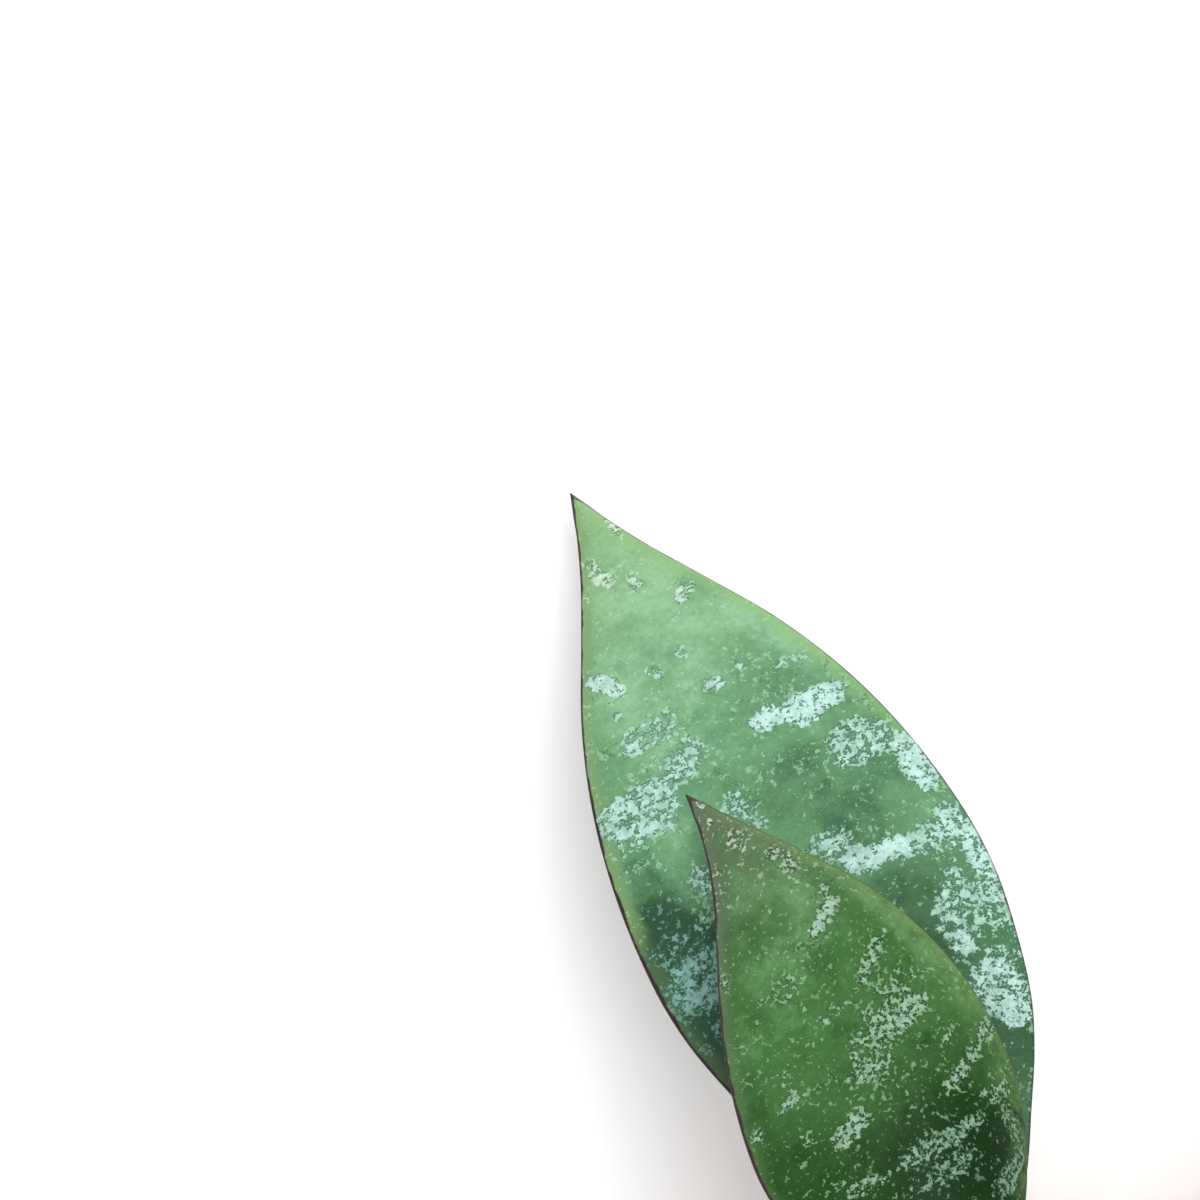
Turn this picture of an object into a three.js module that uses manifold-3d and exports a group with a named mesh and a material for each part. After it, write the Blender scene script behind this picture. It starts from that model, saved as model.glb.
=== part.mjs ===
// A young Hoya caudata in a plain clay pot: three rooted vines with thick, silver-flecked leaves.
// Millimetres, +Z up. The origin is the centre of the pot's foot, on the surface it stands on.

import * as THREE from "three";
import { mergeVertices } from "three/addons/utils/BufferGeometryUtils.js";
import Module from "manifold-3d";

const wasm = await Module();
wasm.setup();

// Driving dimensions of the pot and its filling.
const POT_HEIGHT = 70;
const RIM_RADIUS = 44;
const FOOT_RADIUS = 29;
const FOOT_CHAMFER = 1.2;
const TAPER = 0.215;
const WALL = 4.6;
const FLOOR = 5.5;
const COLLAR_HEIGHT = 18;
const COLLAR_DRAFT = 1.2;
const COLLAR_ROUNDING = 0.9;
const RIM_ROUNDING = 1.6;
const INNER_FILLET = 2;
const DRAIN_RADIUS = 6.5;
const POT_SIDES = 36;
const SOIL_LEVEL = 62;
const SOIL_MOUND = 2.4;
const SOIL_RINGS = [0.93, 0.82, 0.68, 0.52, 0.36, 0.18];
const BROAD_LUMPS = { height: 0.7, x: 0.42, y: 0.37, shift: 1 };
const FINE_LUMPS = { height: 0.4, x: 0.9, y: 0.8 };
const CLEARANCE = 0.3;
const FILLET_CLEARANCE = 0.42;

// Bark chips that stand out of the top of the potting mix.
const CHIP_COUNT = 26;
const CHIP_SEED = 11;
const CHIP_MARGIN = 6.5;
const CHIP_LENGTH = [4.5, 9.5];
const CHIP_SHAPE = [1, 0.66, 0.4];
const CHIP_TILT = 0.45;
const CHIP_LIFT = 0.08;

// Sections of the vines, their aerial roots and the leaves.
const VINE_SIDES = 7;
const STEPS_PER_POINT = 2;
const NODE_SWELLING = 0.5;
const NODE_REACH = 3.2;
const ROOT_RADIUS = 0.75;
const ROOT_LENGTH = 3.6;
const ROOT_DROOP = 0.6;
const ROOT_PLACES = [[1, 0.3], [-1, 0.6]];
const SPIKE_SIDES = 5;
const BUD_RADIUS = 1.1;
const BUD_LENGTH = 6;
const PETIOLE_RADIUS = 1.9;
const FULL_GROWN_WIDTH = 25;
const PETIOLE_ROWS = 4;
const PETIOLE_RISE = 0.35;
const PETIOLE_STRAIGHT = [0.4, 0.35];
const BLADE_THICKNESS = 1.9;
const MARGIN_THICKNESS = 0.9;
const RIB_DEPTH = 1.5;
const RIB_FADE = 0.8;
const TIP_SLIMNESS = 0.7;
const SLIM_BELOW = 0.6;

// Half width of a blade as a share of its widest half width, from the blade's foot to its tail-like tip.
const OUTLINE = [
  [0, 0.07],
  [0.012, 0.17],
  [0.05, 0.34],
  [0.1, 0.515],
  [0.15, 0.685],
  [0.2, 0.815],
  [0.26, 0.91],
  [0.33, 0.985],
  [0.4, 1],
  [0.5, 0.945],
  [0.6, 0.825],
  [0.7, 0.64],
  [0.8, 0.395],
  [0.87, 0.23],
  [0.93, 0.115],
  [0.97, 0.055],
  [1, 0.01],
];

// Rows of a blade: places along its length, and across it from one margin to the other.
const ROWS_ALONG = [
  0, 0.015, 0.045, 0.09, 0.14, 0.2, 0.27, 0.34, 0.41, 0.48, 0.55, 0.62, 0.69, 0.75, 0.81, 0.865, 0.91, 0.95,
  0.98, 1,
];
const ROWS_ACROSS = [-1, -0.68, -0.36, -0.1, 0, 0.1, 0.36, 0.68, 1];
const RIB_ACROSS = [0, 0, 0, 0.3, 1, 0.3, 0, 0, 0];
const STALK_BLEND = 0.05;
const STALK_EDGE = 0.3;
const SIDE_PHASE = 0.9;
const CURL_FADE = 0.7;
const PATH_STEPS = 240;
const MERGE_DISTANCE = 1e-4;

// Each vine runs through hand-set points from its buried end to its tip. Its nodes are the points where it
// swells, and its leafy nodes bear leaves.
const VINES = {
  vine_back: {
    points: [
      [5, 2, 34],
      [4.5, 4, 50],
      [4, 8, 63],
      [3, 15, 71],
      [1.5, 23, 77.5],
      [4, 30, 86],
      [11, 33, 99],
      [22, 28, 116],
      [33, 15, 134],
      [42, -3, 150],
      [46, -22, 158],
      [45, -39, 157],
    ],
    nodes: [4, 7, 10],
    leafy: [4],
    radii: [2.1, 0.85],
  },
  vine_centre: {
    points: [
      [-9, -7, 32],
      [-9.5, -6.5, 48],
      [-10.5, -5, 62],
      [-12.5, -2, 76],
      [-16, 3, 87],
      [-19, 8, 95],
      [-20, 9.5, 104],
      [-18, 8, 112],
    ],
    nodes: [3, 5],
    leafy: [3, 5],
    radii: [2.3, 1],
  },
  vine_front: {
    points: [
      [4, -16, 33],
      [4, -17, 48],
      [5, -19, 61],
      [8, -25, 74],
      [12, -36, 82],
      [17, -50, 81],
      [22, -64, 73],
      [26, -75, 60],
      [27.5, -81, 45],
      [26.5, -84, 31],
    ],
    nodes: [4, 7],
    leafy: [4, 7],
    radii: [2.2, 0.9],
  },
};

// Each leaf: the vine and point it grows from, where its blade starts, its compass heading there and its
// turn to the left, its slope at the foot and at the tip, its length and half width, how far in radians its
// left and right halves curl down, its waves, and its roll at the tip.
const LEAVES = {
  leaf_back_lower: {
    vine: "vine_back", node: 4, foot: [-14.8, 42, 80],
    heading: 117.8, turn: 3.7, rise: -6, fall: -52, length: 148, width: 26.7,
    curl: [0.2, 0.25], wave: 0.5, waves: 2, phase: 0.4, roll: 0,
  },
  leaf_back_upper: {
    vine: "vine_centre", node: 5, foot: [-20.2, 27.6, 97],
    heading: 100, turn: 34.6, rise: 2, fall: -38, length: 96, width: 22,
    curl: [0.4, 1.4], wave: 0.5, waves: 2, phase: 1, roll: 0,
  },
  leaf_right_back: {
    vine: "vine_back", node: 4, foot: [18, 30, 80],
    heading: 18, turn: -10, rise: 8, fall: -38, length: 124, width: 24,
    curl: [0.35, 0.5], wave: 1.6, waves: 2.4, phase: 2, roll: -6,
  },
  leaf_right: {
    vine: "vine_centre", node: 3, foot: [10, -8, 82],
    heading: -14, turn: -10, rise: 14, fall: -36, length: 139, width: 25.5,
    curl: [0.3, 0.3], wave: 1.6, waves: 2.1, phase: 4.4, roll: -10,
  },
  leaf_right_front: {
    vine: "vine_front", node: 4, foot: [29, -42, 82],
    heading: -38, turn: 8, rise: 4, fall: -46, length: 112, width: 22,
    curl: [0.6, 0.3], wave: 1.4, waves: 2.4, phase: 5.2, roll: -8,
  },
  leaf_front: {
    vine: "vine_centre", node: 5, foot: [-14, -9, 100],
    heading: -76, turn: -14, rise: 16, fall: -30, length: 122, width: 22.5,
    curl: [0.3, 0.45], wave: 1.5, waves: 2.2, phase: 0.2, roll: 4,
  },
  leaf_left_front: {
    vine: "vine_front", node: 4, foot: [-4, -46, 83],
    heading: 222, turn: 10, rise: 10, fall: -44, length: 118, width: 23,
    curl: [0.25, 0.5], wave: 1.6, waves: 2.2, phase: 0.9, roll: 6,
  },
  leaf_left: {
    vine: "vine_centre", node: 3, foot: [-27, -7, 81],
    heading: 188, turn: 10, rise: 12, fall: -40, length: 120, width: 24.5,
    curl: [0.45, 0.35], wave: 1.8, waves: 2.3, phase: 3.3, roll: 8,
  },
  leaf_young_left: {
    vine: "vine_front", node: 7, foot: [14, -82, 62],
    heading: 246, turn: 14, rise: 0, fall: -40, length: 78, width: 14.5,
    curl: [0.5, 0.5], wave: 1, waves: 2, phase: 2.6, roll: 4,
  },
  leaf_young_right: {
    vine: "vine_front", node: 7, foot: [38, -76, 62],
    heading: -42, turn: -10, rise: 4, fall: -46, length: 64, width: 12.5,
    curl: [0.4, 0.6], wave: 1, waves: 2.2, phase: 3.9, roll: -4,
  },
};

const COLOURS = {
  clay: { color: 0xb9683f, roughness: 0.85 },
  soil: { color: 0x3b2a20, roughness: 0.95 },
  vine: { color: 0x5c5a3a, roughness: 0.7 },
  leaf: { color: 0x5d8f5f, roughness: 0.45 },
};

function materialOf(name) {
  return new THREE.MeshStandardMaterial({ ...COLOURS[name], metalness: 0 });
}

// A repeatable stream of numbers from 0 to 1.
function seededRandom(seed) {
  let state = seed >>> 0;
  return () => {
    state = (state + 0x6d2b79f5) >>> 0;
    let mixed = Math.imul(state ^ (state >>> 15), 1 | state);
    mixed = (mixed + Math.imul(mixed ^ (mixed >>> 7), 61 | mixed)) ^ mixed;
    return ((mixed ^ (mixed >>> 14)) >>> 0) / 4294967296;
  };
}

// A closed skin over rings of points. Quads at the places in turned are split along their other diagonal.
function loft(rings, turned = new Set()) {
  const sides = rings[0].length;
  const points = rings.flat();
  const triangles = [];
  for (let i = 0; i + 1 < rings.length; i += 1) {
    for (let j = 0; j < sides; j += 1) {
      const next = (j + 1) % sides;
      const a = i * sides + j;
      const b = i * sides + next;
      const c = a + sides;
      const d = b + sides;
      if (turned.has(j)) triangles.push(a, b, c, b, d, c);
      else triangles.push(a, b, d, a, d, c);
    }
  }
  for (const [row, outward] of [[0, false], [rings.length - 1, true]]) {
    const centre = rings[row].reduce((sum, p) => sum.add(p), new THREE.Vector3()).divideScalar(sides);
    points.push(centre);
    for (let j = 0; j < sides; j += 1) {
      const a = row * sides + j;
      const b = row * sides + ((j + 1) % sides);
      triangles.push(...(outward ? [a, b, points.length - 1] : [b, a, points.length - 1]));
    }
  }
  const geometry = new THREE.BufferGeometry().setFromPoints(points);
  geometry.setIndex(triangles);
  return geometry;
}

// A solid from a geometry, with its faces turned outwards.
function solidOf(geometry) {
  const bare = geometry.index ? geometry.toNonIndexed() : geometry.clone();
  for (const name of Object.keys(bare.attributes)) {
    if (name !== "position") bare.deleteAttribute(name);
  }
  const merged = mergeVertices(bare, MERGE_DISTANCE);
  const mesh = (triVerts) =>
    new wasm.Manifold(
      new wasm.Mesh({ numProp: 3, vertProperties: merged.attributes.position.array, triVerts }),
    );
  const forward = Uint32Array.from(merged.index.array);
  const solid = mesh(forward);
  if (solid.volume() > 0) return solid;
  const backward = forward.map((_, i) => forward[i - (i % 3) + (2 - (i % 3))]);
  return mesh(backward);
}

// The largest single body of a solid, without the scraps that a cut can leave.
function mainBody(solid) {
  return solid.decompose().reduce((best, body) => (body.volume() > best.volume() ? body : best));
}

function meshOf(name, solid, material) {
  const { vertProperties, triVerts } = solid.getMesh();
  const geometry = new THREE.BufferGeometry();
  geometry.setAttribute("position", new THREE.BufferAttribute(vertProperties, 3));
  geometry.setIndex(new THREE.BufferAttribute(triVerts, 1));
  geometry.computeVertexNormals();
  const mesh = new THREE.Mesh(geometry, material);
  mesh.name = name;
  return mesh;
}

// Reads a list of [place, value] pairs as one smooth line through them.
function smoothLine(pairs, place) {
  const last = pairs.length - 1;
  let i = pairs.findIndex(([x]) => x > place) - 1;
  if (i < 0) i = place >= pairs[last][0] ? last - 1 : 0;
  const slope = (k) => {
    const low = Math.max(0, k - 1);
    const high = Math.min(last, k + 1);
    return (pairs[high][1] - pairs[low][1]) / (pairs[high][0] - pairs[low][0]);
  };
  const span = pairs[i + 1][0] - pairs[i][0];
  const t = Math.min(1, Math.max(0, (place - pairs[i][0]) / span));
  const [a, b] = [pairs[i][1], pairs[i + 1][1]];
  return (
    a * (2 * t ** 3 - 3 * t ** 2 + 1) +
    b * (3 * t ** 2 - 2 * t ** 3) +
    span * slope(i) * (t ** 3 - 2 * t ** 2 + t) +
    span * slope(i + 1) * (t ** 3 - t ** 2)
  );
}

// The vine as a tapering tube with swollen nodes, made thicker all round by extra.
function vineTube(vine, extra) {
  const points = vine.points.map((p) => new THREE.Vector3(...p));
  const curve = new THREE.CatmullRomCurve3(points);
  const steps = (points.length - 1) * STEPS_PER_POINT;
  const rings = [];
  for (let i = 0; i <= steps; i += 1) {
    const centre = curve.getPoint(i / steps);
    const tangent = curve.getTangent(i / steps);
    const side = new THREE.Vector3(1, 0, 0).cross(tangent).normalize();
    const rise = new THREE.Vector3().crossVectors(tangent, side);
    if (i === 0) centre.addScaledVector(tangent, -extra);
    const swelling = vine.nodes.reduce((most, k) => {
      const far = centre.distanceTo(points[k]) / NODE_REACH;
      return Math.max(most, Math.exp(-far * far));
    }, 0);
    const share = i / steps;
    const plain = THREE.MathUtils.lerp(vine.radii[0], vine.radii[1], share);
    const radius = plain * (1 + swelling * NODE_SWELLING) + extra;
    const ring = [];
    for (let j = 0; j < VINE_SIDES; j += 1) {
      const angle = (2 * Math.PI * j) / VINE_SIDES;
      ring.push(
        centre
          .clone()
          .addScaledVector(side, radius * Math.cos(angle))
          .addScaledVector(rise, radius * Math.sin(angle)),
      );
    }
    rings.push(ring);
  }
  return solidOf(loft(rings));
}

// A short tapering spike from one point towards another: an aerial root or a leaf bud.
function spike(from, to, radius) {
  const along = new THREE.Vector3().subVectors(to, from);
  const cone = new THREE.ConeGeometry(radius, along.length(), SPIKE_SIDES);
  const upright = new THREE.Vector3(0, 1, 0);
  cone.applyQuaternion(new THREE.Quaternion().setFromUnitVectors(upright, along.clone().normalize()));
  cone.translate(...from.clone().addScaledVector(along, 0.5).toArray());
  return solidOf(cone);
}

// Stubby aerial roots point down and sideways between the leafy nodes, and two leaf buds close the tip.
function vineSolid(vine) {
  const points = vine.points.map((p) => new THREE.Vector3(...p));
  const curve = new THREE.CatmullRomCurve3(points);
  const last = points.length - 1;
  let solid = vineTube(vine, 0);
  for (let k = 0; k + 1 < last; k += 1) {
    const buried = points[k].z < SOIL_LEVEL + ROOT_LENGTH;
    if (buried || vine.leafy.includes(k) || vine.leafy.includes(k + 1)) continue;
    for (const [side, share] of ROOT_PLACES) {
      const at = curve.getPoint((k + share) / last);
      const tangent = curve.getTangent((k + share) / last);
      const out = new THREE.Vector3(-side * tangent.y, side * tangent.x, -ROOT_DROOP).setLength(ROOT_LENGTH);
      solid = solid.add(spike(at, at.clone().add(out), ROOT_RADIUS));
    }
  }
  const heading = curve.getTangent(1);
  for (const side of [-1, 1]) {
    const out = new THREE.Vector3(-heading.y, heading.x, 0).setLength(side * BUD_RADIUS * 2);
    const from = points[last].clone().addScaledVector(heading, -BUD_RADIUS);
    const to = points[last].clone().addScaledVector(heading, BUD_LENGTH).add(out);
    solid = solid.add(spike(from, to, BUD_RADIUS));
  }
  return solid;
}

// Where the midrib runs: points and directions along it, from the blade's foot to its tip.
function midribOf(leaf) {
  const path = [];
  const position = new THREE.Vector3(...leaf.foot);
  for (let i = 0; i <= PATH_STEPS; i += 1) {
    const share = i / PATH_STEPS;
    const heading = THREE.MathUtils.degToRad(leaf.heading + leaf.turn * share);
    const pitch = THREE.MathUtils.degToRad(THREE.MathUtils.lerp(leaf.rise, leaf.fall, share));
    const along = new THREE.Vector3(
      Math.cos(pitch) * Math.cos(heading),
      Math.cos(pitch) * Math.sin(heading),
      Math.sin(pitch),
    );
    const left = new THREE.Vector3(-Math.sin(heading), Math.cos(heading), 0);
    left.applyAxisAngle(along, THREE.MathUtils.degToRad(leaf.roll * share));
    const up = new THREE.Vector3().crossVectors(along, left);
    path.push({ position: position.clone(), along, left, up });
    position.addScaledVector(along, leaf.length / PATH_STEPS);
  }
  return path;
}

// One point of a cross-section, from its distances left of the midrib and above it.
function placed(frame, left, up) {
  return frame.position.clone().addScaledVector(frame.left, left).addScaledVector(frame.up, up);
}

// Radius of a leaf's stalk: a young leaf has a thinner one.
function stalkRadius(leaf) {
  return PETIOLE_RADIUS * Math.sqrt(leaf.width / FULL_GROWN_WIDTH);
}

// A blade's cross-section: the upper face from the right margin to the left one, and the lower face back.
function bladeRing(leaf, frame, along) {
  const half = leaf.width * smoothLine(OUTLINE, along);
  const stalk = 1 - THREE.MathUtils.smoothstep(along, 0, STALK_BLEND);
  const ring = [];
  for (const face of [1, -1]) {
    const order = face === 1 ? ROWS_ACROSS : [...ROWS_ACROSS].reverse();
    for (const across of order) {
      const phase = leaf.phase + (across < 0 ? SIDE_PHASE : 0);
      const ripple = leaf.wave * Math.sin(2 * Math.PI * leaf.waves * along + phase);
      const share = half / leaf.width;
      const curl = leaf.curl[across < 0 ? 1 : 0] * (1 - CURL_FADE * along);
      const lift = ripple * share * across * across - (half * (1 - Math.cos(curl * across))) / curl;
      const thickness = THREE.MathUtils.lerp(BLADE_THICKNESS, MARGIN_THICKNESS, across * across);
      const slim = THREE.MathUtils.lerp(TIP_SLIMNESS, 1, Math.min(1, share / SLIM_BELOW));
      const ribShape = RIB_ACROSS[ROWS_ACROSS.indexOf(across)];
      const rib = face === 1 ? 0 : RIB_DEPTH * (1 - along) ** RIB_FADE * ribShape;
      const flat = lift + (face * thickness * slim) / 2 - rib;
      const round = stalkRadius(leaf) * Math.max(Math.sqrt(1 - across * across), STALK_EDGE);
      ring.push(
        placed(
          frame,
          THREE.MathUtils.lerp((half * Math.sin(curl * across)) / curl, stalkRadius(leaf) * across, stalk),
          THREE.MathUtils.lerp(flat, face * round - RIB_DEPTH / 2, stalk),
        ),
      );
    }
  }
  return ring;
}

// The stalk's cross-sections, from inside the vine's node to the foot of the blade.
function petioleRings(leaf, first) {
  const start = new THREE.Vector3(...VINES[leaf.vine].points[leaf.node]);
  const end = placed(first, 0, -RIB_DEPTH / 2);
  const reach = start.distanceTo(end);
  const outward = new THREE.Vector3().subVectors(end, start).setZ(0).normalize();
  outward.z = PETIOLE_RISE;
  const bend = new THREE.CubicBezierCurve3(
    start,
    start.clone().addScaledVector(outward.normalize(), reach * PETIOLE_STRAIGHT[0]),
    end.clone().addScaledVector(first.along, -reach * PETIOLE_STRAIGHT[1]),
    end,
  );
  const rings = [];
  for (let i = 0; i < PETIOLE_ROWS; i += 1) {
    const share = i / PETIOLE_ROWS;
    const along = bend.getTangent(share);
    const left = new THREE.Vector3().crossVectors(first.up, along).normalize();
    const up = new THREE.Vector3().crossVectors(along, left);
    const frame = { position: bend.getPoint(share), along, left, up };
    const ring = [];
    for (const face of [1, -1]) {
      const order = face === 1 ? ROWS_ACROSS : [...ROWS_ACROSS].reverse();
      for (const across of order) {
        const round = stalkRadius(leaf) * Math.max(Math.sqrt(1 - across * across), STALK_EDGE);
        ring.push(placed(frame, stalkRadius(leaf) * across, face * round));
      }
    }
    rings.push(ring);
  }
  return rings;
}

// Stalk and blade in one closed body, cut back so that the stalk seats on its vine.
function leafSolid(leaf) {
  const path = midribOf(leaf);
  const rings = petioleRings(leaf, path[0]);
  for (const along of ROWS_ALONG) {
    rings.push(bladeRing(leaf, path[Math.round(along * PATH_STEPS)], along));
  }
  const lowerFace = new Set(ROWS_ACROSS.map((_, i) => ROWS_ACROSS.length + i));
  const whole = solidOf(loft(rings, lowerFace));
  return mainBody(whole.subtract(vineTube(VINES[leaf.vine], CLEARANCE)));
}

// Radius of the pot's outer wall below the collar, and of its inner wall, at a height.
function outerRadius(height) {
  return FOOT_RADIUS + TAPER * (height - FOOT_CHAMFER);
}

function innerRadius(height) {
  return RIM_RADIUS - WALL - TAPER * (POT_HEIGHT - RIM_ROUNDING - height);
}

// Points of a rounded corner, from one angle to another in degrees.
function corner(radius, centreRadius, centreHeight, from, to) {
  return [from, (from + to) / 2, to].map((degrees) => {
    const angle = THREE.MathUtils.degToRad(degrees);
    return [centreRadius + radius * Math.cos(angle), centreHeight + radius * Math.sin(angle)];
  });
}

// The clay pot: a tapered wall under a plain collar, with one drain hole through its floor.
function potSolid() {
  const collarFoot = POT_HEIGHT - COLLAR_HEIGHT;
  const rim = POT_HEIGHT - RIM_ROUNDING;
  const collarEdge = RIM_RADIUS - COLLAR_DRAFT - COLLAR_ROUNDING;
  const profile = [
    [DRAIN_RADIUS, 0],
    [FOOT_RADIUS - FOOT_CHAMFER, 0],
    [FOOT_RADIUS, FOOT_CHAMFER],
    [outerRadius(collarFoot), collarFoot],
    ...corner(COLLAR_ROUNDING, collarEdge, collarFoot + COLLAR_ROUNDING, -90, 0),
    ...corner(RIM_ROUNDING, RIM_RADIUS - RIM_ROUNDING, rim, 0, 90),
    ...corner(RIM_ROUNDING, RIM_RADIUS - WALL + RIM_ROUNDING, rim, 90, 180),
    [innerRadius(FLOOR + INNER_FILLET), FLOOR + INNER_FILLET],
    [innerRadius(FLOOR) - INNER_FILLET, FLOOR],
    [DRAIN_RADIUS, FLOOR],
    [DRAIN_RADIUS, 0],
  ];
  const lathe = new THREE.LatheGeometry(profile.map((p) => new THREE.Vector2(...p)), POT_SIDES);
  lathe.rotateX(Math.PI / 2);
  return solidOf(lathe);
}

// The mix's uneven top: a low mound with lumps.
function soilHeight(x, y) {
  const out = Math.hypot(x, y) / innerRadius(SOIL_LEVEL);
  const broad = BROAD_LUMPS.height * Math.sin(BROAD_LUMPS.x * x + BROAD_LUMPS.shift) * Math.cos(BROAD_LUMPS.y * y);
  const fine = FINE_LUMPS.height * Math.sin(FINE_LUMPS.x * x - FINE_LUMPS.y * y);
  return SOIL_LEVEL + SOIL_MOUND * (1 - out * out) + (broad + fine) * (1 - out ** 4);
}

// A ring of points round the pot's axis, at one height or on the mix's uneven top.
function soilRing(radius, height) {
  const ring = [];
  for (let j = 0; j < POT_SIDES; j += 1) {
    const angle = (2 * Math.PI * j) / POT_SIDES;
    const [x, y] = [radius * Math.cos(angle), radius * Math.sin(angle)];
    ring.push(new THREE.Vector3(x, y, height ?? soilHeight(x, y)));
  }
  return ring;
}

// The potting mix fills the pot, has bark chips fused into its top, and has a plain hole for each vine.
function soilSolid() {
  const low = FLOOR + CLEARANCE;
  const edge = innerRadius(SOIL_LEVEL) - CLEARANCE;
  const rings = [
    soilRing(innerRadius(low) - INNER_FILLET - CLEARANCE, low),
    soilRing(innerRadius(low + INNER_FILLET) - FILLET_CLEARANCE, low + INNER_FILLET),
    soilRing(edge, SOIL_LEVEL),
  ];
  for (const share of SOIL_RINGS) rings.push(soilRing(edge * share));
  let solid = solidOf(loft(rings));
  const random = seededRandom(CHIP_SEED);
  for (let i = 0; i < CHIP_COUNT; i += 1) {
    const reach = (edge - CHIP_MARGIN) * Math.sqrt(random());
    const angle = 2 * Math.PI * random();
    const [x, y] = [reach * Math.cos(angle), reach * Math.sin(angle)];
    const size = THREE.MathUtils.lerp(...CHIP_LENGTH, random());
    const chip = new THREE.BoxGeometry(...CHIP_SHAPE.map((share) => size * share));
    chip.rotateX(CHIP_TILT * (2 * random() - 1));
    chip.rotateY(CHIP_TILT * (2 * random() - 1));
    chip.rotateZ(Math.PI * random());
    chip.translate(x, y, soilHeight(x, y) + CHIP_LIFT * size);
    solid = solid.add(solidOf(chip));
  }
  for (const vine of Object.values(VINES)) solid = solid.subtract(vineTube(vine, CLEARANCE));
  return mainBody(solid);
}

const plant = new THREE.Group();
plant.add(meshOf("clay_pot", potSolid(), materialOf("clay")));
plant.add(meshOf("potting_mix", soilSolid(), materialOf("soil")));
for (const [name, vine] of Object.entries(VINES)) {
  plant.add(meshOf(name, vineSolid(vine), materialOf("vine")));
}
for (const [name, leaf] of Object.entries(LEAVES)) {
  plant.add(meshOf(name, leafSolid(leaf), materialOf("leaf")));
}

export default plant;
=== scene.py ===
import logging
import math
from dataclasses import dataclass
from enum import Enum

import bmesh
import bpy
import numpy as np
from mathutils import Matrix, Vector


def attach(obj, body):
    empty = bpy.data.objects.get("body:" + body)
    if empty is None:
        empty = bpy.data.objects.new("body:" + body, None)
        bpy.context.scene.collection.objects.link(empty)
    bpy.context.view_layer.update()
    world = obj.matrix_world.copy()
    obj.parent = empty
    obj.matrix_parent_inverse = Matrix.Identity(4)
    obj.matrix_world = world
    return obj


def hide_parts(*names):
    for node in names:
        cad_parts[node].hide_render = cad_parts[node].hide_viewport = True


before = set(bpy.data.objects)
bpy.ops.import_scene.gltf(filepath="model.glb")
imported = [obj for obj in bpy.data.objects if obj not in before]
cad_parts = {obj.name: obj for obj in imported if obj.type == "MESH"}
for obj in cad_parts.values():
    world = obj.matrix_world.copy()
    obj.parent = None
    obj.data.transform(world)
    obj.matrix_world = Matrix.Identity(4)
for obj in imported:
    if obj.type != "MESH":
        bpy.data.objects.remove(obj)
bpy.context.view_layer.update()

# A young Hoya caudata in a clay pot: its finishes, its fine leaves and vines, its bark mix and the studio
# that it is photographed in. Metres, +Z up, with the origin at the centre of the pot's foot.

LOG = logging.getLogger("hoya")
BODY = "root"

Colour = tuple[float, float, float, float]
Point = tuple[float, float, float]
Span = tuple[float, float]
Array = np.ndarray
Mesh = bpy.types.Mesh
Material = bpy.types.Material
Tree = bpy.types.NodeTree
Socket = bpy.types.NodeSocket
Feed = Socket | float | int | bool | Colour | Point | Material

FULL_TURN = 2 * math.pi
MM_PER_METRE = 1000
HALF = 0.5
REFRACTION = 1.4
SRGB_WHITE = 255
SRGB_TOE = 0.04045
SRGB_SLOPE = 12.92
SRGB_OFFSET = 0.055
SRGB_POWER = 2.4


def screen(red: int, green: int, blue: int) -> Colour:
    """Linear colour of a colour given as it shows on a screen.

    Args:
        red: Red from 0 to 255.
        green: Green from 0 to 255.
        blue: Blue from 0 to 255.

    Returns:
        The same colour as linear red, green, blue and an alpha of 1.
    """
    linear = []
    for level in (red / SRGB_WHITE, green / SRGB_WHITE, blue / SRGB_WHITE):
        curve = ((level + SRGB_OFFSET) / (1 + SRGB_OFFSET)) ** SRGB_POWER
        linear.append(level / SRGB_SLOPE if level <= SRGB_TOE else curve)
    return (linear[0], linear[1], linear[2], 1.0)


def smoothstep(value: Array, low: float, high: float) -> Array:
    """Smooth rise from 0 to 1 between two values."""
    share = np.clip((value - low) / (high - low), 0, 1)
    return share * share * (3 - 2 * share)


def smooth_line(pairs: tuple[Span, ...], places: Array) -> Array:
    """Reads a list of places and values as one smooth line through them.

    Args:
        pairs: The places and values that the line runs through.
        places: Where to read it.

    Returns:
        The line's value at each place.
    """
    x, y = np.array(pairs).T
    low = np.maximum(np.arange(len(x)) - 1, 0)
    high = np.minimum(np.arange(len(x)) + 1, len(x) - 1)
    slope = (y[high] - y[low]) / (x[high] - x[low])
    i = np.clip(np.searchsorted(x, places, side="right") - 1, 0, len(x) - 2)
    span = x[i + 1] - x[i]
    t = np.clip((places - x[i]) / span, 0, 1)
    return (
        y[i] * (2 * t**3 - 3 * t**2 + 1)
        + y[i + 1] * (3 * t**2 - 2 * t**3)
        + span * slope[i] * (t**3 - 2 * t**2 + t)
        + span * slope[i + 1] * (t**3 - t**2)
    )


def bezier(ends: Array, places: Array) -> tuple[Array, Array]:
    """Points and directions of a cubic Bezier curve.

    Args:
        ends: Its four control points, one a row.
        places: Where to read it, from 0 to 1.

    Returns:
        The points, and the unit directions of the curve there.
    """
    t = places[:, None]
    a, b, c, d = ends
    points = a * (1 - t) ** 3 + 3 * b * t * (1 - t) ** 2 + 3 * c * t**2 * (1 - t) + d * t**3
    slopes = (b - a) * (1 - t) ** 2 + 2 * (c - b) * t * (1 - t) + (d - c) * t**2
    return points, slopes / np.linalg.norm(slopes, axis=1, keepdims=True)


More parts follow.
